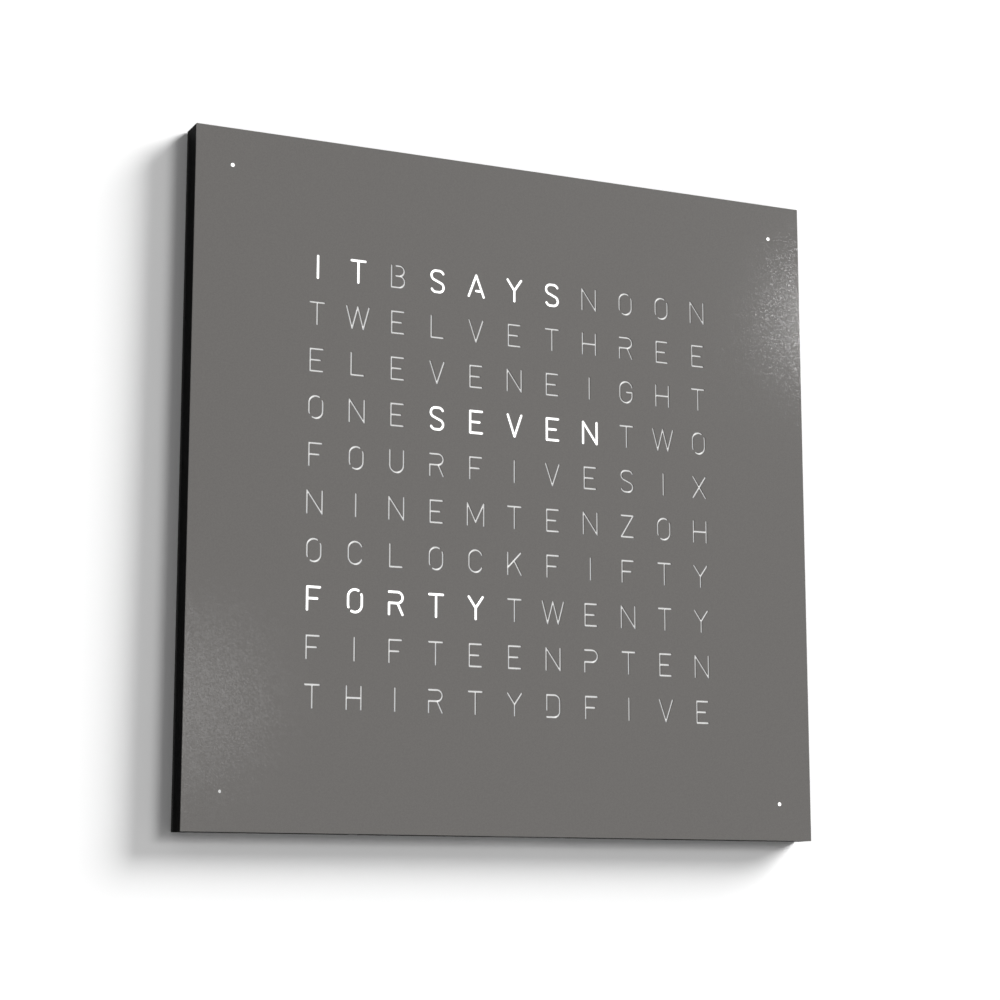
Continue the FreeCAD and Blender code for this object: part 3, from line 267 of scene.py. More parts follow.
def lit_cells(sizes, light):
    """X and Z of the middles of the lit letters."""
    found = set()
    for word in light.lit_words.split():
        row, span = word.split(":")
        first, last = span.split("-")
        found |= {(column - 1, int(row) - 1) for column in range(int(first), int(last) + 1)}
    return {cell_middle(sizes, *cell) for cell in found}


def dot_places():
    """X and Z of the four dots, clockwise from the top left."""
    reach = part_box("dot_boards")[1].x - DOT_BOARD_RADIUS
    return [(-reach, reach), (reach, reach), (reach, -reach), (-reach, -reach)]


# ---- finishes ----

def powder_coat(name, sizes, colours, painted_spill_glow):
    # Polyester powder coat, sprayed dry and baked on steel. It is matt, with a fine even orange peel whose
    # small bumps catch the light one by one where a lamp glances off.
    # Round a lit letter the coat's rim and cut edges carry a painted glow, an emission in place of the light
    # that spills over the cut edge.
    made, tree = empty_material(name)
    place = add(tree, "TexCoord").outputs["Object"]
    grain = add(tree, "TexVoronoi", {"Vector": place, "Scale": 1 / sizes.coat_grain})
    grey = add(tree, "SeparateColor", {"Color": grain.outputs["Color"]})
    shine = add(tree, "MapRange", {"Value": grey.outputs["Green"], "To Min": 0.0, "To Max": COAT_SHINE})
    # A shinier bump is a little darker in itself, so the coat looks even where no lamp glances off.
    tone = add(tree, "MapRange", {"Value": grey.outputs["Green"], "To Min": 1 + COAT_TONE,
                                  "To Max": 1 - COAT_TONE})
    colour = add(tree, "Mix", {"Factor": 1.0, 6: colours.coat, 7: tone.outputs["Result"]},
                 data_type="RGBA", blend_type="MULTIPLY")
    tilt = add(tree, "VectorMath", {0: grain.outputs["Color"], 1: (0.5, 0.5, 0.5)}, operation="SUBTRACT")
    face = add(tree, "NewGeometry").outputs["Normal"]
    lean = add(tree, "VectorMath", {0: tilt.outputs[0], "Scale": FACET_LEAN}, operation="SCALE")
    facet = add(tree, "VectorMath", {0: lean.outputs[0], 1: face}, operation="ADD")
    facet = add(tree, "VectorMath", {0: facet.outputs[0]}, operation="NORMALIZE")
    # The emission is the painted glow on a rim round a lit letter, and is 0 on the rest of the coat.
    shader = add(tree, "BsdfPrincipled", {
        "Base Color": colour.outputs[2], "Roughness": 0.55, "Specular IOR Level": 0.06,
        "Normal": facet.outputs[0], "Coat Weight": shine.outputs["Result"], "Coat Roughness": 0.07,
        "Coat Normal": facet.outputs[0], "Emission Color": WHITE, "Emission Strength": painted_spill_glow})
    add(tree, "OutputMaterial", {"Surface": shader.outputs["BSDF"]})
    return made


def worked(name, colour, rough, grain, relief, stretch=(1, 1, 1), metal=0.0, ior=1.5, mottle=0.04, clear=0.0,
           gloss=0.5):
    """A finish whose tone, sheen and relief follow the marks of its making: grain is their width, relief
    their height, and stretch draws them out along an axis. rough is the roughness of the smoothest and of the
    roughest mark, and mottle the share by which the tone varies. A filler that dulls the skin lowers gloss. A
    finish that more pieces have is made once."""
    if name in bpy.data.materials:
        return bpy.data.materials[name]
    made, tree = empty_material(name)
    place = add(tree, "TexCoord").outputs["Object"]
    drawn = add(tree, "Mapping", {"Vector": place, "Scale": stretch})
    marks = add(tree, "TexNoise", {"Vector": drawn.outputs[0], "Scale": 1 / grain, "Detail": 3.0})
    tone = add(tree, "MapRange", {"Value": marks.outputs["Fac"], "From Min": 0.3, "From Max": 0.7,
                                  "To Min": 1 - mottle, "To Max": 1 + mottle})
    sheen = add(tree, "MapRange", {"Value": marks.outputs["Fac"], "From Min": 0.3, "From Max": 0.7,
                                   "To Min": rough[0], "To Max": rough[1]})
    toned = add(tree, "Mix", {"Factor": 1.0, 6: linear(colour), 7: tone.outputs["Result"]},
                data_type="RGBA", blend_type="MULTIPLY")
    bump = add(tree, "Bump", {"Height": marks.outputs["Fac"], "Strength": 1.0, "Distance": relief})
    shader = add(tree, "BsdfPrincipled", {
        "Base Color": toned.outputs[2], "Metallic": metal, "IOR": ior, "Roughness": sheen.outputs["Result"],
        "Specular IOR Level": gloss, "Transmission Weight": clear, "Normal": bump.outputs["Normal"]})
    add(tree, "OutputMaterial", {"Surface": shader.outputs["BSDF"]})
    return made


def black_lacquer(sizes, colours):
    # Medium density fibreboard, dyed black right through. Its front and edges are sealed and sprayed with a
    # dead matt black lacquer, in whose little sheen the fibres show as a faint unevenness. The back is left
    # bare, so the paler fibres speckle it. They are drawn 0.9 mm wide, where real ones are about 0.1 mm.
    made, tree = empty_material("black_lacquered_fibreboard")
    place = add(tree, "TexCoord").outputs
    fibre = add(tree, "TexNoise", {"Vector": place["Object"], "Scale": 1 / sizes.board_fibre, "Detail": 3.0})
    pale = add(tree, "MapRange", {"Value": fibre.outputs["Fac"], "From Min": 0.4, "From Max": 0.7})
    bare = add(tree, "Mix", {"Factor": pale.outputs["Result"], 6: linear("#111110"),
                             7: linear("#363432")}, data_type="RGBA")
    facing = add(tree, "SeparateXYZ", {"Vector": place["Normal"]})
    back = add(tree, "Math", {0: facing.outputs["Y"], 1: 0.5}, operation="GREATER_THAN")
    colour = add(tree, "Mix", {"Factor": back.outputs[0], 6: colours.lacquer, 7: bare.outputs[2]},
                 data_type="RGBA")
    bump = add(tree, "Bump", {"Height": fibre.outputs["Fac"], "Strength": 0.5, "Distance": 0.05 * MM})
    sheen = add(tree, "MapRange", {"Value": fibre.outputs["Fac"], "To Min": 0.55, "To Max": 0.75})
    shader = add(tree, "BsdfPrincipled", {
        "Base Color": colour.outputs[2], "Specular IOR Level": 0.02, "Roughness": sheen.outputs["Result"],
        "Normal": bump.outputs["Normal"]})
    add(tree, "OutputMaterial", {"Surface": shader.outputs["BSDF"]})
    return made


def opal_film(name, colours, glow, held):
    # Opal polycarbonate film, extruded: an even milky white, which glows where a lamp is on behind it. Over a
    # dark cell it has a painted glow as well, though no lamp is on behind it. held is the share of the room's
    # light that it sends back: over a dark cell the rest passes through.
    made, tree = empty_material(name)
    place = add(tree, "TexCoord").outputs["Object"]
    cloud = add(tree, "TexNoise", {"Vector": place, "Scale": 1 / (2.5 * MM), "Detail": 2.0})
    satin = add(tree, "MapRange", {"Value": cloud.outputs["Fac"], "To Min": 0.5, "To Max": 0.6})
    white = tuple(c * held for c in colours.film[:3]) + (1.0,)
    shader = add(tree, "BsdfPrincipled", {
        "Base Color": white, "IOR": 1.58, "Roughness": satin.outputs["Result"], "Emission Color": WHITE,
        "Emission Strength": glow})
    add(tree, "OutputMaterial", {"Surface": shader.outputs["BSDF"]})
    return made


def circuit_board(name, mask, track, patch):
    # Glass fibre laminate with a glossy solder mask screened over it. The copper tracks beneath the mask
    # stand up as low ridges and show through in a paler tone. They run in bundles, across or down by the
    # patch, and are drawn 0.5 mm wide, where real ones are about 0.2 mm.
    made, tree = empty_material(name)
    place = add(tree, "TexCoord").outputs["Object"]
    axes = add(tree, "SeparateXYZ", {"Vector": place})
    flat = add(tree, "CombineXYZ", {"X": axes.outputs["X"], "Y": axes.outputs["Z"]})
    square = add(tree, "VectorMath", {0: flat.outputs[0], 1: (patch, patch, patch)}, operation="SNAP")
    chance = add(tree, "TexWhiteNoise", {"Vector": square.outputs[0]}).outputs["Value"]
    down = add(tree, "Math", {0: chance, 1: 0.4}, operation="GREATER_THAN")
    run = add(tree, "Mix", {"Factor": down.outputs[0], 2: axes.outputs["X"], 3: axes.outputs["Z"]})
    step = add(tree, "Math", {0: run.outputs[0], 1: 1.5 * MM, 2: 0.0}, operation="WRAP")
    line = add(tree, "Math", {0: step.outputs[0], 1: 0.5 * MM}, operation="LESS_THAN")
    wired = add(tree, "Math", {0: chance, 1: 0.75}, operation="LESS_THAN")
    copper = add(tree, "Math", {0: line.outputs[0], 1: wired.outputs[0]}, operation="MULTIPLY")
    colour = add(tree, "Mix", {"Factor": copper.outputs[0], 6: linear(mask), 7: linear(track)},
                 data_type="RGBA")
    weave = add(tree, "TexNoise", {"Vector": place, "Scale": 1 / (1.2 * MM), "Detail": 2.0})
    sheen = add(tree, "MapRange", {"Value": weave.outputs["Fac"], "To Min": 0.2, "To Max": 0.42})
    ridge = add(tree, "Bump", {"Height": copper.outputs[0], "Strength": 1.0, "Distance": 0.035 * MM})
    shader = add(tree, "BsdfPrincipled", {
        "Base Color": colour.outputs[2], "IOR": 1.55, "Roughness": sheen.outputs["Result"],
        "Normal": ridge.outputs["Normal"]})
    add(tree, "OutputMaterial", {"Surface": shader.outputs["BSDF"]})
    return made


def flat_cable():
    # Grey PVC, extruded over twelve cores side by side: soft ribs 1.27 mm apart, with one edge core in red.
    # Its tone carries painted shade in the grooves between the ribs and a faint painted highlight on their
    # crests.
    made, tree = empty_material("ribbed_grey_pvc")
    place = add(tree, "TexCoord").outputs["Object"]
    ribs = add(tree, "TexWave", {"Vector": place, "Scale": math.pi / 10 / (CORE_PITCH * MM)})
    across = add(tree, "SeparateXYZ", {"Vector": place})
    edge = add(tree, "Math", {0: across.outputs["X"], 1: -6.9 * MM}, operation="LESS_THAN")
    core = add(tree, "Mix", {"Factor": edge.outputs[0], 6: linear("#8B8B8E"), 7: linear("#A8322E")},
               data_type="RGBA")
    # Painted shade and highlight: the tone is darker in the grooves and a little paler on the crests.
    painted_rib_shade = add(tree, "MapRange", {"Value": ribs.outputs["Fac"], "To Min": 0.72, "To Max": 1.05})
    toned = add(tree, "Mix", {"Factor": 1.0, 6: core.outputs[2], 7: painted_rib_shade.outputs["Result"]},
                data_type="RGBA", blend_type="MULTIPLY")
    bump = add(tree, "Bump", {"Height": ribs.outputs["Fac"], "Strength": 1.0, "Distance": 0.25 * MM})
    shader = add(tree, "BsdfPrincipled", {
        "Base Color": toned.outputs[2], "Roughness": 0.48, "IOR": 1.53, "Normal": bump.outputs["Normal"]})
    add(tree, "OutputMaterial", {"Surface": shader.outputs["BSDF"]})
    return made


def phosphor(name, colour, glow):
    # Silicone filled with yellow phosphor, poured into the lamp's well: smooth, and bright white when driven.
    made, tree = empty_material(name)
    place = add(tree, "TexCoord").outputs["Object"]
    grains = add(tree, "TexNoise", {"Vector": place, "Scale": 1 / (0.3 * MM), "Detail": 2.0})
    pale = add(tree, "Mix", {"Factor": grains.outputs["Fac"], 6: linear(colour),
                             7: linear("#F2E7A8")}, data_type="RGBA")
    shader = add(tree, "BsdfPrincipled", {
        "Base Color": pale.outputs[2], "Roughness": 0.15, "IOR": 1.41,
        "Emission Color": (1.0, 0.98, 0.93, 1.0), "Emission Strength": glow})
    add(tree, "OutputMaterial", {"Surface": shader.outputs["BSDF"]})
    return made


def tinned():
    # Tin over copper, reflowed: a soft bright grey, a little dimpled.
    return worked("tinned_copper", "#C9CACB", (0.25, 0.4), 0.3 * MM, 0.01 * MM, metal=1.0)


def black_epoxy():
    # Epoxy filled with silica, moulded round a chip: dead matt black with a fine grey speckle.
    return worked("black_epoxy", "#1D1D1E", (0.5, 0.7), 0.15 * MM, 0.008 * MM, ior=1.55, mottle=0.15)


def zinc_plate():
    # Steel, zinc-plated in a barrel with a clear passivate: a soft grey shine, rubbed bright here and there.
    return worked("zinc_plated_steel", "#B9BBBC", (0.2, 0.42), 0.7 * MM, 0.01 * MM, metal=1.0, mottle=0.1)


# ---- pieces ----
# Numbers in a piece are in millimetres, unless they are marked MM or are shares.

class WORDCLOCK_OT_cover(bpy.types.Operator):
    """Coats the front cover and its four studs"""
    bl_idname = "wordclock.cover"
    bl_label = "Front cover"

    def execute(self, context):
        sizes, colours, light = settings(context)
        lit = [*lit_cells(sizes, light), *dot_places()[:light.lit_dots]]
        # The back and the cut edges of the sheet stay as they are, and those of lit slots get the painted
        # glow.
        shell = bmesh.new()
        shell.from_mesh(NODES["front_cover"].data)
        bmesh.ops.remove_doubles(shell, verts=shell.verts, dist=SAME_PLACE)
        faces = [f for f in shell.faces if f.normal.y < FACING_FRONT]
        bmesh.ops.delete(shell, geom=faces, context="FACES_ONLY")
        bmesh.ops.delete(shell, geom=[e for e in shell.edges if e.is_wire], context="EDGES")
        for face in shell.faces:
            middle = face.calc_center_median()
            face.material_index = int(abs(face.normal.y) < 0.5 and self.beside(middle, lit))
        reach = max(v.co.x for v in shell.verts) - 1 * MM

        # The front is filled in again between its outlines, with a narrow rim round each slot; the rim round
        # a lit slot gets the painted glow.
        rims = bmesh.new()
        rims.from_mesh(NODES["front_cover"].data)
        bmesh.ops.remove_doubles(rims, verts=rims.verts, dist=SAME_PLACE)
        edges = [e for e in rims.edges if sum(f.normal.y < FACING_FRONT for f in e.link_faces) == 1]
        cut = [e for e in edges if all(max(abs(v.co.x), abs(v.co.z)) < reach for v in e.verts)]
        loops = {v for e in edges for v in e.verts}
        bmesh.ops.delete(rims, geom=rims.faces[:], context="FACES_ONLY")
        bmesh.ops.delete(rims, geom=[v for v in rims.verts if v not in loops], context="VERTS")
        kept = set(edges)
        bmesh.ops.delete(rims, geom=[e for e in rims.edges if e not in kept], context="EDGES")
        slots = bmesh.ops.edgenet_fill(rims, edges=cut)["faces"]
        rim = bmesh.ops.inset_region(rims, faces=slots, thickness=-sizes.painted_glow_rim_width, use_boundary=True,
                                     use_even_offset=True)["faces"]
        for face in rim:
            face.material_index = int(self.beside(face.calc_center_median(), lit))
        bmesh.ops.delete(rims, geom=[f for f in rims.faces if f not in set(rim)], context="FACES_ONLY")
        outer = [e for e in rims.edges if e in kept]
        bmesh.ops.triangle_fill(rims, use_beauty=True, use_dissolve=False, edges=outer)
        bmesh.ops.recalc_face_normals(rims, faces=rims.faces)
        if rims.faces[:][0].normal.y > 0:
            bmesh.ops.reverse_faces(rims, faces=rims.faces)
        sheet = bpy.data.meshes.new("front")
        rims.to_mesh(sheet)
        rims.free()
        shell.from_mesh(sheet)
        bpy.data.meshes.remove(sheet)
        bmesh.ops.remove_doubles(shell, verts=shell.verts, dist=SAME_PLACE)
        # Steel, turned, and zinc-plated: fine bright rings under a grey shine.
        dress("locating_studs", worked("turned_steel", "#B5B6B6", (0.2, 0.36), 0.3 * MM, 0.01 * MM,
                                       metal=1.0))
        # The second coat carries the painted glow on the rims and cut edges round lit letters.
        place_piece("cover_sheet", shell, "cover",
                    [powder_coat("powder_coat", sizes, colours, 0.0),
                     powder_coat("powder_coat_lit_rim", sizes, colours, RIM_GLOW_PAINTED)], ["front_cover"])
        return {"FINISHED"}

    def beside(self, place, lit):
        """Whether a place on the cover belongs to a lit letter or dot."""
        return any(max(abs(place.x - x), abs(place.z - z)) < LETTER_REACH for x, z in lit)


class WORDCLOCK_OT_diffusers(bpy.types.Operator):
    """Makes the opal film behind the letters and the four dot diffusers, with a glow where a lamp is on"""
    bl_idname = "wordclock.diffusers"
    bl_label = "Diffusers"

    def execute(self, context):
        sizes, colours, light = settings(context)
        # The film over a dark cell gets a painted glow, with no lamp on behind it.
        finishes = [opal_film("opal_film", colours, DARK_CELL_PAINTED_GLOW, CELL_HELD),
                    opal_film("opal_film_lit", colours, light.glow, 1.0)]
        low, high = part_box("diffuser_film")
        sheet = bmesh.new()
        bmesh.ops.create_grid(sheet, x_segments=COLUMNS, y_segments=ROWS, size=0.5,
                              matrix=Matrix.Rotation(math.pi / 2, 4, "X"))
        field = Vector((COLUMNS * sizes.column_pitch, 1, ROWS * sizes.row_pitch))
        bmesh.ops.scale(sheet, verts=sheet.verts, vec=field)
        lit = lit_cells(sizes, light)
        for face in sheet.faces:
            middle = face.calc_center_median()
            face.material_index = int(any(math.dist((middle.x, middle.z), place) < 1 * MM for place in lit))
        rim = bmesh.ops.extrude_edge_only(sheet, edges=[e for e in sheet.edges if e.is_boundary])
        for vert in (g for g in rim["geom"] if isinstance(g, bmesh.types.BMVert)):
            # A corner at the edge of the field of letters moves out to the edge of the film.
            for axis in (0, 2):
                if abs(vert.co[axis]) > 0.49 * field[axis]:
                    vert.co[axis] = math.copysign(high[axis], vert.co[axis])
        bmesh.ops.recalc_face_normals(sheet, faces=sheet.faces)
        for face in sheet.faces:
            if face.normal.y > 0:
                face.normal_flip()
        bmesh.ops.translate(sheet, verts=sheet.verts, vec=(0, low.y, 0))
        bmesh.ops.solidify(sheet, geom=sheet.faces[:], thickness=high.y - low.y)
        place_piece("letter_film", sheet, "cover", finishes, ["diffuser_film"])

        discs = bmesh.new()
        low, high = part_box("dot_diffusers")
        for i, (x, z) in enumerate(dot_places()):
            made = bmesh.ops.create_cone(discs, cap_ends=True, segments=48, radius1=DOT_FILM_RADIUS,
                                         radius2=DOT_FILM_RADIUS, depth=high.y - low.y,
                                         matrix=Matrix.Translation((x, (low.y + high.y) / 2, z))
                                         @ Matrix.Rotation(math.pi / 2, 4, "X"))
            for face in {f for v in made["verts"] for f in v.link_faces}:
                face.material_index = int(i < light.lit_dots)
        place_piece("dot_films", discs, "cover", finishes, ["dot_diffusers"])
        return {"FINISHED"}


class WORDCLOCK_OT_body(bpy.types.Operator):
    """Lacquers the body and finishes its bushes and magnets"""
    bl_idname = "wordclock.body"
    bl_label = "Body"

    def execute(self, context):
        sizes, colours, _ = settings(context)
        dress("clock_body", black_lacquer(sizes, colours))
        # Brass, turned: the tool leaves fine bright rings.
        dress("stud_bushes", worked("turned_brass", "#C9A25A", (0.18, 0.34), 0.3 * MM, 0.01 * MM, metal=1.0))
        # Nickel plate over pressed magnet powder: a bright, faintly yellow mirror with tiny pits.
        dress("holding_magnets", worked("nickel_plate", "#B5B0A6", (0.1, 0.28), 0.8 * MM, 0.01 * MM,
                                        metal=1.0, mottle=0.1))
        return {"FINISHED"}


class WORDCLOCK_OT_light(bpy.types.Operator):
    """Finishes the light grid, the boards with the lamps, and what is fixed to them"""
    bl_idname = "wordclock.light"
    bl_label = "Light"

    def execute(self, context):
        # ABS, moulded black against a spark-eroded tool: an even fine tooth that kills stray light.
        dress("light_grid", worked("eroded_black_abs", "#161616", (0.5, 0.7), 0.35 * MM, 0.02 * MM,
                                   ior=1.52))
        # White solder mask, screened over glass fibre laminate: smooth and bright, to send the light forward.
        dress("led_board dot_boards", circuit_board("white_solder_mask", "#E4E4DF", "#EFEFEC", 14 * MM))
        # Polycarbonate filled with white pigment, moulded: a soft even gloss.
        dress("dot_reflectors", worked("white_polycarbonate", "#ECECE8", (0.3, 0.45), 0.8 * MM, 0.004 * MM,
                                       ior=1.58))
        dress("grid_screws", zinc_plate())
        sizes, _, light = settings(context)
        # White liquid-crystal polymer, moulded round the lamp's frame.
        looks = [worked("white_lamp_housing", "#EFEEE8", (0.2, 0.35), 0.5 * MM, 0.005 * MM), tinned(),
                 phosphor("phosphor", "#E8C64A", 0.0), phosphor("phosphor_lit", "#FFF6D0", LAMP_GLOW)]
        lit = lit_cells(sizes, light)
        cells = [cell_middle(sizes, column, row) for row in range(ROWS) for column in range(COLUMNS)]
        seats = dot_places()
        # Each lamp's width is in millimetres.
        for name, node, size, on, off in (
                ("letter_lamps", "led_packages", 5.0, lit, set(cells) - lit),
                ("dot_lamps", "dot_leds", 3.4, seats[:light.lit_dots], seats[light.lit_dots:])):
            lamps, level = bmesh.new(), box_mm(node)[0].y
            for material, places in ((3, on), (2, off)):
                copies(lamps, self.lamp(size, material), [(x / MM, level, z / MM) for x, z in places])
            place_piece(name, lamps, "clock", looks, [node], MM)
        self.leads()
        self.drivers()
        return {"FINISHED"}

    def lamp(self, size, window):
        """A square housing, a little narrower at its front, with a round well, phosphor in the well, and six
        soldered feet. Its front lies at 0."""
        shape, half = bmesh.new(), size / 2
        front, well, floor = 0.94, 0.37, 0.8
        hole = bmesh.ops.create_circle(shape, segments=12, radius=well * size)["verts"]
        square = bmesh.ops.create_circle(shape, segments=4, radius=half * front * math.sqrt(2),
                                         matrix=Matrix.Rotation(math.pi / 4, 4, "Z"))["verts"]
        bmesh.ops.triangle_fill(shape, use_beauty=True, edges=shape.edges)
        skirt = self.drawn_out(shape, square, 1.5, 1 / front)
        slope = self.drawn_out(shape, hole, 0.5, floor)
        bmesh.ops.contextual_create(shape, geom=skirt)
        bmesh.ops.recalc_face_normals(shape, faces=shape.faces)
        bmesh.ops.contextual_create(shape, geom=slope)["faces"][0].material_index = window
        bmesh.ops.recalc_face_normals(shape, faces=shape.faces)
        for side in (-1, 1):
            for row in (-1, 0, 1):
                middle = Vector((side * half * 0.82, row * size * 0.31, -1.55))
                reach = Vector((half * 0.18, size * 0.09, 0.05))
                block(shape, middle - reach, middle + reach, 1)
        bmesh.ops.rotate(shape, verts=shape.verts, matrix=Matrix.Rotation(math.pi / 2, 3, "X"))
        return shape

    def drawn_out(self, shape, ring, depth, spread):
        """Extrudes a ring of corners backwards, scales it by spread, and returns the new ring's edges."""
        edges = [e for e in shape.edges if all(v in ring for v in e.verts)]
        made = bmesh.ops.extrude_edge_only(shape, edges=edges)["geom"]
        verts = [g for g in made if isinstance(g, bmesh.types.BMVert)]
        bmesh.ops.translate(shape, verts=verts, vec=(0, 0, -depth))
        bmesh.ops.scale(shape, verts=verts, vec=(spread, spread, 1))
        return [e for e in shape.edges if all(v in verts for v in e.verts)]

    def leads(self):
        """Two round cores, with a thin web between them, from beside the grid to each dot board."""
        apart, radius, web = 0.9, 0.4, (1.3, 0.25)
        cores = bmesh.new()
        for sx in (-1, 1):
            for sz in (-1, 1):
                # The corners of one lead, from its inner end to its outer end.
                ends = sorted((v.co / MM for v in NODES["dot_leads"].data.vertices
                               if v.co.x * sx > 0 and v.co.z * sz > 0), key=lambda p: abs(p.x) + abs(p.z))
                start, end = (sum(group, Vector()) / len(group)
                              for group in (ends[:len(ends) // 2], ends[len(ends) // 2:]))
                run, way = (end - start).length, (end - start).normalized()
                aside = Vector((0, 1, 0)).cross(way)
                for side in (-apart, apart):
                    turned(cores, [(0, 0), (radius, 0), (radius, run), (0, run)], start + aside * side, way,
                           steps=12)
                turn = Matrix((aside, (0, 1, 0), way)).transposed().to_4x4()
                bmesh.ops.create_cube(cores, size=1, matrix=Matrix.Translation((start + end) / 2) @ turn
                                      @ Matrix.Diagonal((*web, run - 0.1, 1)))
        # PVC, extruded: two soft white cores joined by a web.
        place_piece("dot_cores", cores, "clock", [
            worked("white_pvc", "#E2E1DC", (0.4, 0.5), 0.6 * MM, 0.01 * MM, ior=1.53)], ["dot_leads"], MM)

    def drivers(self):
        """Two chips with fourteen bent legs each on the back of the letter board."""
        chips = bmesh.new()
        low, high = box_mm("led_drivers")
        reach = 7.6
        for side in (-1, 1):
            middle = Vector((side * (high.x - reach / 2), low.y, (low.z + high.z) / 2))
            chip(chips, middle, (5.2, 2.4, high.z - low.z - 0.2), reach, legs=7, pitch=1.27, sides="X")
        place_piece("driver_chips", chips, "clock", [black_epoxy(), tinned()],
                    ["led_drivers"], MM)


class WORDCLOCK_OT_hangers(bpy.types.Operator):
    """Plates the two hanger plates and their screws"""
    bl_idname = "wordclock.hangers"
    bl_label = "Hangers"

    def execute(self, context):
        # Rolled sheet, zinc-plated after punching: fine lines along the rolling under a soft grey shine.
        dress("hanger_plate_left hanger_plate_right",
              worked("zinc_plated_sheet", "#A6AAAD", (0.3, 0.52), 0.5 * MM, 0.02 * MM, (0.06, 1, 1),
                     metal=1.0, mottle=0.18))
        dress("hanger_screws", zinc_plate())
        return {"FINISHED"}


class WORDCLOCK_OT_back(bpy.types.Operator):
    """Finishes the back panel, the key plate and their screws"""
    bl_idname = "wordclock.back"
    bl_label = "Back panel and key plate"

    def execute(self, context):
        # ABS, moulded black against an etched tool: a leathery grain about a millimetre wide.
        dress("back_panel key_plate",
              worked("grained_black_abs", "#1B1B1A", (0.4, 0.65), 1.5 * MM, 0.25 * MM, ior=1.52, mottle=0.45,
                     gloss=0.15))
        # Steel, blackened in hot salts: a thin dark oxide with a low metal shine.
        dress("back_panel_screws key_plate_screws",
              worked("black_oxide_steel", "#5A5B5E", (0.3, 0.5), 0.4 * MM, 0.008 * MM, metal=1.0,
                     mottle=0.15))
        return {"FINISHED"}


class WORDCLOCK_OT_keys(bpy.types.Operator):
    """Finishes the buttons, the switches behind them and the light pipe"""
    bl_idname = "wordclock.keys"
    bl_label = "Buttons"

    def execute(self, context):
        # ABS, moulded in a polished tool and then rubbed by fingers: satin, a little shinier on its crown.
        dress("button_cap_hour button_cap_minute button_cap_mode",
              worked("satin_black_abs", "#222222", (0.25, 0.4), 0.7 * MM, 0.006 * MM, ior=1.52))
        # Nylon filled with glass, moulded black: dull, with a fine fibrous bloom.
        dress("switch_bodies", worked("black_switch_case", "#1B1B1C", (0.35, 0.5), 0.3 * MM, 0.01 * MM))
        low, high = box_mm("switch_bodies")
        top = high.y + 0.1
        shields = bmesh.new()
        for button in ("hour", "minute", "mode"):
            x = sum(corner.x for corner in box_mm("switch_plunger_" + button)) / 2
            # A lid over the back with a folded flap on each side, and a foot on the end of each flap.
            block(shields, (x - 2.9, high.y - 0.05, low.z + 0.2), (x + 2.9, top, high.z - 0.2), 0, 0.05)
            for side in (-1, 1):
                inner, outer = x + side * 3, x + side * 3 + side * 0.12
                block(shields, (inner, low.y + 1.2, low.z + 1.2), (outer, top, high.z - 1.2), 0, 0.04)
                block(shields, (inner, low.y, low.z + 2.0), (outer, low.y + 1.3, low.z + 3.0))
        # Spring steel, stamped, folded and tin-plated.
        place_piece("switch_shields", shields, "clock", [tinned()], scale=MM)
        # Acetal, moulded: waxy white with a soft sheen.
        dress("switch_plunger_hour switch_plunger_minute switch_plunger_mode",
              worked("white_acetal", "#DDDBD2", (0.3, 0.42), 0.6 * MM, 0.006 * MM, ior=1.48))
        # Epoxy, cast and tinted dark: glossy, nearly black, with a breath of violet.
        dress("light_sensor", worked("smoked_epoxy", "#26242B", (0.08, 0.18), 0.8 * MM, 0.003 * MM, ior=1.55))
        # Acrylic rod, clear, with flame-polished ends.
        dress("sensor_light_pipe",
              worked("clear_acrylic", "#F4F6F5", (0.02, 0.08), 1.5 * MM, 0.002 * MM, ior=1.49, mottle=0.01,
                     clear=1.0))
        return {"FINISHED"}


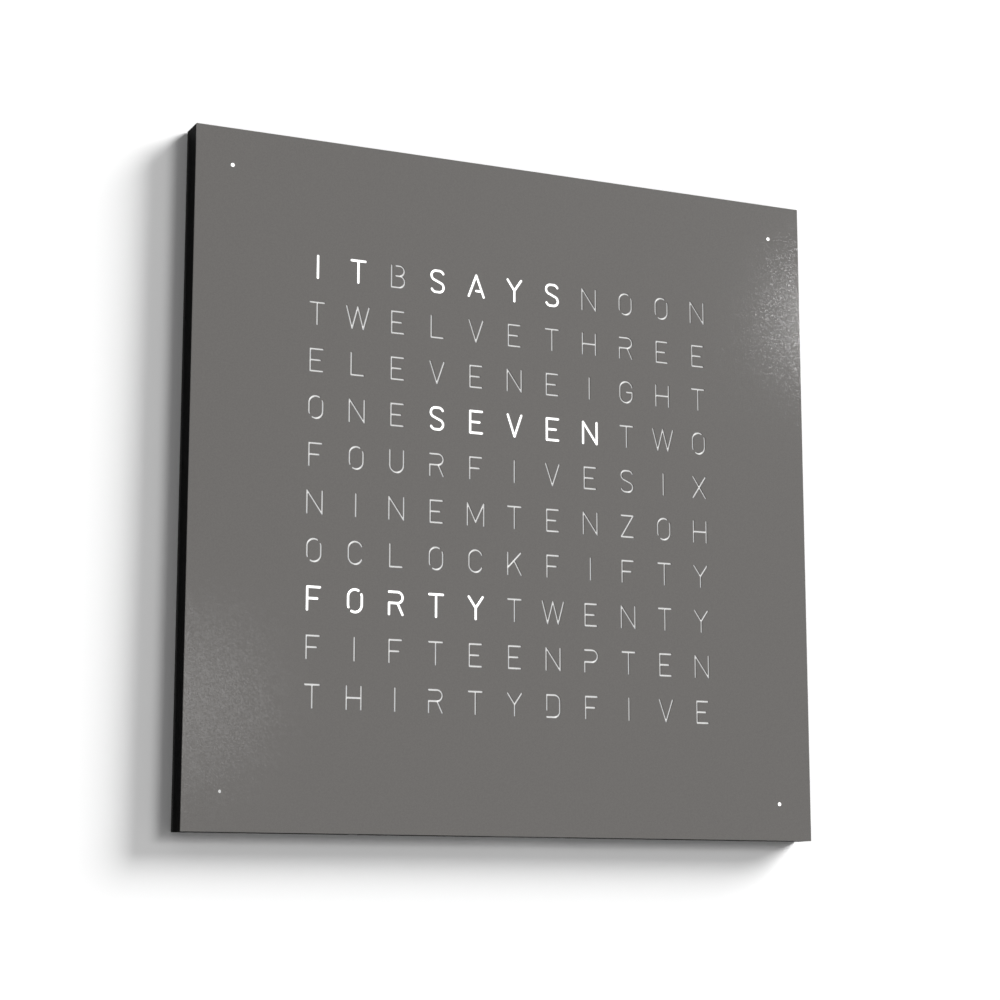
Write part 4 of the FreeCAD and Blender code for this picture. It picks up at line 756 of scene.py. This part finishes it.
class WORDCLOCK_OT_electronics(bpy.types.Operator):
    """Finishes the control board and what it carries"""
    bl_idname = "wordclock.electronics"
    bl_label = "Control board"

    def execute(self, context):
        dress("control_board", circuit_board("green_solder_mask", "#0F5A2B", "#1F7038", 7.5 * MM))
        self.chips()
        self.power()
        self.sockets()
        dress("board_screws", zinc_plate())
        # Nylon, turned and left undyed: a dull ivory.
        dress("board_spacers", worked("natural_nylon", "#DAD7CC", (0.35, 0.5), 0.4 * MM, 0.01 * MM,
                                      ior=1.53))
        dress("led_ribbon", flat_cable())
        # Polyester (PBT), moulded black: an even satin.
        dress("coin_cell_holder", worked("black_pbt", "#202020", (0.4, 0.55), 0.3 * MM, 0.01 * MM,
                                         ior=1.55))
        # Stainless steel, pressed and polished, with fine handling scratches.
        dress("coin_cell", worked("pressed_steel", "#C6C3BD", (0.12, 0.32), 0.25 * MM, 0.006 * MM,
                                  (1, 1, 0.15), metal=1.0))
        self.cell_clip()
        # Polyester, moulded black in a smooth tool, and brass plated a pale gold.
        dress("dc_jack", worked("black_jack_case", "#181818", (0.25, 0.4), 0.6 * MM, 0.008 * MM))
        dress("dc_jack_pin", worked("plated_pin", "#CDB27A", (0.15, 0.25), 0.3 * MM, 0.004 * MM, metal=1.0))
        return {"FINISHED"}

    def cell_clip(self):
        """The holder's sprung strip, bent over the rim of the cell and down to a soldered tab."""
        low, high = box_mm("coin_cell_holder")
        middle, thick, bend = (low.x + high.x) / 2, 0.3, 0.08
        fold = (middle + 2.5, high.y + thick, high.z + thick)
        strip = bmesh.new()
        block(strip, (middle - 2.5, high.y, high.z - 8), fold, 0, bend)
        block(strip, (middle - 2.5, low.y + 0.2, high.z), fold, 0, bend)
        block(strip, (middle - 1.5, low.y, high.z), (middle + 1.5, low.y + thick, high.z + 1.6), 0, bend)
        turned(strip, [(0, 0.25), (1.1, 0.25), (0.8, 0.42), (0, 0.5)], (middle, high.y, high.z - 5.5),
               (0, 1, 0))
        # Phosphor bronze, stamped, folded and nickel-plated.
        place_piece("cell_clip", strip, "clock", [
            worked("plated_spring_strip", "#B8B6B0", (0.18, 0.34), 0.4 * MM, 0.006 * MM, metal=1.0)],
                    scale=MM)

    def chips(self):
        """The controller with legs on four sides and the clock chip with legs on two."""
        for name, node, sides, legs, pitch, reach, body in (
                ("controller_chip", "microcontroller", "XZ", 11, 0.8, 12.4, (10.0, 1.4, 10.0)),
                ("clock_keeper_chip", "clock_chip", "Z", 4, 1.27, 6.4, (5.0, 1.6, 4.0))):
            low, high = box_mm(node)
            shape = bmesh.new()
            foot = ((low.x + high.x) / 2, low.y, (low.z + high.z) / 2)
            chip(shape, foot, body, reach, legs, pitch, sides)
            place_piece(name, shape, "clock", [black_epoxy(), tinned()], [node], MM)

    def power(self):
        """Two can capacitors and a wound coil."""
        low, high = box_mm("power_parts")
        parts = bmesh.new()
        # Two cans in a row on square bases, each with a cross scored on top.
        can = [(0, 0.8), (2.75, 0.8), (3.0, 1.1), (2.8, 1.5), (3.05, 1.9), (3.05, 6.6), (2.7, 7.0),
               (2.3, 6.85), (0, 6.85)]
        row, score, dip = -182.5, high.y - 0.1, high.y - 0.16
        for x in (low.x + 3.15, low.x + 11.15):
            block(parts, (x - 3.1, low.y, row - 3.1), (x + 3.1, low.y + 0.8, row + 3.1), 1, 0.3)
            turned(parts, can, (x, low.y, row), (0, 1, 0), 0)
            for wide, deep in ((2.2, 0.1), (0.1, 2.2)):
                block(parts, (x - wide, dip, row - deep), (x + wide, score, row + deep), 1)
        # A flanged core on a square base, with five turns of wire in its waist.
        core = [(0, 0.9), (3.3, 0.9), (3.4, 1.1), (2.6, 1.3), (2.6, 3.4), (3.4, 3.6), (3.4, 3.9), (3.3, 4.0),
                (0, 4.0)]
        foot = (low.x + 10.2, low.y, low.z + 3.5)
        block(parts, (low.x + 6.7, low.y, low.z), (low.x + 13.7, low.y + 0.9, low.z + 7), 1, 0.3)
        turned(parts, core, foot, (0, 1, 0), 1)
        for start in (1.4 + 0.4 * turn for turn in range(5)):
            wire = [(2.55, start), (2.95, start), (2.95, start + 0.35), (2.55, start + 0.35), (2.55, start)]
            turned(parts, wire, foot, (0, 1, 0), 2)
        place_piece("cans_and_coil", parts, "clock", [
            # Aluminium, drawn into a can and scored on top so that it can vent.
            worked("drawn_aluminium", "#C3C4C6", (0.2, 0.35), 0.3 * MM, 0.006 * MM, (0.2, 1, 0.2), metal=1.0),
            # Ferrite, pressed and fired, and the black bases: dark grey with a fine dull grain.
            worked("fired_ferrite", "#2A2A2C", (0.45, 0.65), 0.3 * MM, 0.01 * MM),
            # Copper wire under a clear red-brown enamel.
            worked("enamelled_copper", "#A4562E", (0.2, 0.3), 0.4 * MM, 0.004 * MM, metal=1.0)],
                    ["power_parts"], MM)

    def sockets(self):
        """The two connectors of the flat cable: a housing with a mouth and a latch, and a row of pins."""
        # Nylon, moulded in its natural colour: a warm translucent white.
        nylon = worked("white_nylon", "#DEDBD0", (0.3, 0.45), 0.5 * MM, 0.006 * MM, ior=1.53)
        for name, node, foot in (("board_socket", "board_connector", -1),
                                 ("lamp_socket", "led_connector", 1)):
            low, high = box_mm(node)
            heel, mouth = (high.z, low.z) if foot > 0 else (low.z, high.z)
            shape = bmesh.new()
            block(shape, (low.x, low.y, heel - foot * 0.9), (high.x, high.y, mouth), 0, 0.25)
            shape.normal_update()
            end = max((f for f in shape.faces if f.normal.z * foot < -0.9), key=bmesh.types.BMFace.calc_area)
            bmesh.ops.inset_region(shape, faces=[end], thickness=1.35)
            inner = bmesh.ops.extrude_discrete_faces(shape, faces=[end])["faces"][0]
            bmesh.ops.translate(shape, verts=inner.verts, vec=(0, 0, foot * 2.8))
            block(shape, (low.x + 1, high.y - 0.5, heel - foot * 0.4),
                  (high.x - 1, high.y - 0.1, heel - foot * 1.2), 0, 0.1)
            for i in range(CORES):
                x = (i - (CORES - 1) / 2) * CORE_PITCH
                block(shape, (x - 0.2, low.y, heel), (x + 0.2, low.y + 0.3, heel - foot * 1.2), 1)
            place_piece(name, shape, "clock", [nylon, tinned()], [node], MM)


class WORDCLOCK_OT_stage(bpy.types.Operator):
    """Makes the wall, the floor, the lamps and the camera"""
    bl_idname = "wordclock.stage"
    bl_label = "Wall, floor, lamps and camera"

    def execute(self, context):
        scene = context.scene
        scene.view_settings.view_transform = "Standard"
        white = self.plain_white("wall_white")
        upright = Matrix.Rotation(math.pi / 2, 4, "X")
        self.plane("wall", Matrix.Translation((0, WALL_Y, 0)) @ upright, WALL_SIZE, white)
        self.plane("floor", Matrix.Translation((0, 0, FLOOR_Z)), FLOOR_SIZE, white)
        self.white_room(scene)
        for name, way, level, width in LAMPS:
            lamp = bpy.data.lights.new(name, "SUN")
            lamp.energy = level * math.pi / abs(Vector(way).normalized().y)
            lamp.angle = math.radians(width)
            hung = bpy.data.objects.new(name, lamp)
            hung.rotation_euler = Vector(way).to_track_quat("Z", "Y").to_euler()
            hung.visible_glossy = name not in UNSEEN_IN_GLOSS
            scene.collection.objects.link(hung)
        lens = bpy.data.cameras.new("camera")
        lens.lens, lens.sensor_width = LENS, SENSOR
        scene.camera = bpy.data.objects.new("camera", lens)
        scene.camera.location = CAMERA_PLACE
        scene.camera.rotation_euler = [math.radians(degrees) for degrees in CAMERA_TURN]
        scene.collection.objects.link(scene.camera)
        return {"FINISHED"}

    def plane(self, name, place, size, material):
        """A square of the stage, size metres wide."""
        shape = bmesh.new()
        bmesh.ops.create_grid(shape, x_segments=1, y_segments=1, size=size / 2, matrix=place)
        mesh = bpy.data.meshes.new(name)
        shape.to_mesh(mesh)
        shape.free()
        mesh.materials.append(material)
        made = bpy.data.objects.new(name, mesh)
        bpy.context.scene.collection.objects.link(made)

    def plain_white(self, name):
        # Plain matt paint. It shows only to the camera and in a gloss, and only from its front, so the object
        # is seen from every side. It takes the object's shadow, but throws no light back on the object.
        made, tree = empty_material(name)
        path = add(tree, "LightPath")
        far = add(tree, "Math", {0: path.outputs["Ray Length"], 1: SEEN_FROM}, operation="GREATER_THAN")
        glossy = add(tree, "Math", {0: path.outputs["Is Glossy Ray"], 1: far.outputs[0]},
                     operation="MULTIPLY")
        seen = add(tree, "Math", {0: path.outputs["Is Camera Ray"], 1: glossy.outputs[0]},
                   operation="ADD", use_clamp=True)
        face = add(tree, "NewGeometry")
        front = add(tree, "Math", {0: 1.0, 1: face.outputs["Backfacing"]}, operation="SUBTRACT")
        solid = add(tree, "Math", {0: seen.outputs[0], 1: front.outputs[0]}, operation="MULTIPLY")
        white = add(tree, "BsdfDiffuse", {"Color": WHITE})
        clear = add(tree, "BsdfTransparent")
        mixed = add(tree, "MixShader", {0: solid.outputs[0], 1: clear.outputs[0], 2: white.outputs[0]})
        add(tree, "OutputMaterial", {"Surface": mixed.outputs[0]})
        return made

    def white_room(self, scene):
        """White air, which looks brighter than the light that it gives."""
        scene.world = bpy.data.worlds.new("white_room")
        scene.world.use_nodes = True
        tree = scene.world.node_tree
        tree.nodes.clear()
        path = add(tree, "LightPath")
        direct = add(tree, "Math", {0: path.outputs["Is Camera Ray"],
                                    1: path.outputs["Is Transmission Ray"]}, operation="MAXIMUM")
        white = add(tree, "Math", {0: direct.outputs[0], 1: path.outputs["Is Glossy Ray"]},
                    operation="MAXIMUM")
        level = add(tree, "MapRange", {"Value": white.outputs[0], "To Min": ROOM_LEVEL, "To Max": 1.0})
        air = add(tree, "Background", {"Color": WHITE, "Strength": level.outputs["Result"]})
        add(tree, "OutputWorld", {"Surface": air.outputs[0]})


class WORDCLOCK_PT_pieces(bpy.types.Panel):
    """The sizes, colours and light, and a button for each group of pieces"""
    bl_label = "Word clock"
    bl_idname = "WORDCLOCK_PT_pieces"
    bl_space_type = "VIEW_3D"
    bl_region_type = "UI"
    bl_category = "Word clock"

    def draw(self, context):
        for group in settings(context):
            for name in group.bl_rna.properties.keys():
                if name not in ("rna_type", "name"):
                    self.layout.prop(group, name)
        for operator in OPERATORS:
            self.layout.operator(operator.bl_idname)


GROUPS = (ClockSizes, ClockColours, ClockLight)
OPERATORS = (WORDCLOCK_OT_stage, WORDCLOCK_OT_cover, WORDCLOCK_OT_diffusers, WORDCLOCK_OT_body,
             WORDCLOCK_OT_light, WORDCLOCK_OT_hangers, WORDCLOCK_OT_back, WORDCLOCK_OT_keys,
             WORDCLOCK_OT_electronics)


def register():
    for group in (*GROUPS, *OPERATORS, WORDCLOCK_PT_pieces):
        bpy.utils.register_class(group)
    bpy.types.Scene.clock_sizes = bpy.props.PointerProperty(type=ClockSizes)
    bpy.types.Scene.clock_colours = bpy.props.PointerProperty(type=ClockColours)
    bpy.types.Scene.clock_light = bpy.props.PointerProperty(type=ClockLight)


def unregister():
    del bpy.types.Scene.clock_sizes, bpy.types.Scene.clock_colours, bpy.types.Scene.clock_light
    for group in reversed((*GROUPS, *OPERATORS, WORDCLOCK_PT_pieces)):
        bpy.utils.unregister_class(group)


def main():
    register()
    for operator in OPERATORS:
        getattr(bpy.ops.wordclock, operator.bl_idname.split(".")[1])()


if __name__ == "__main__":
    main()
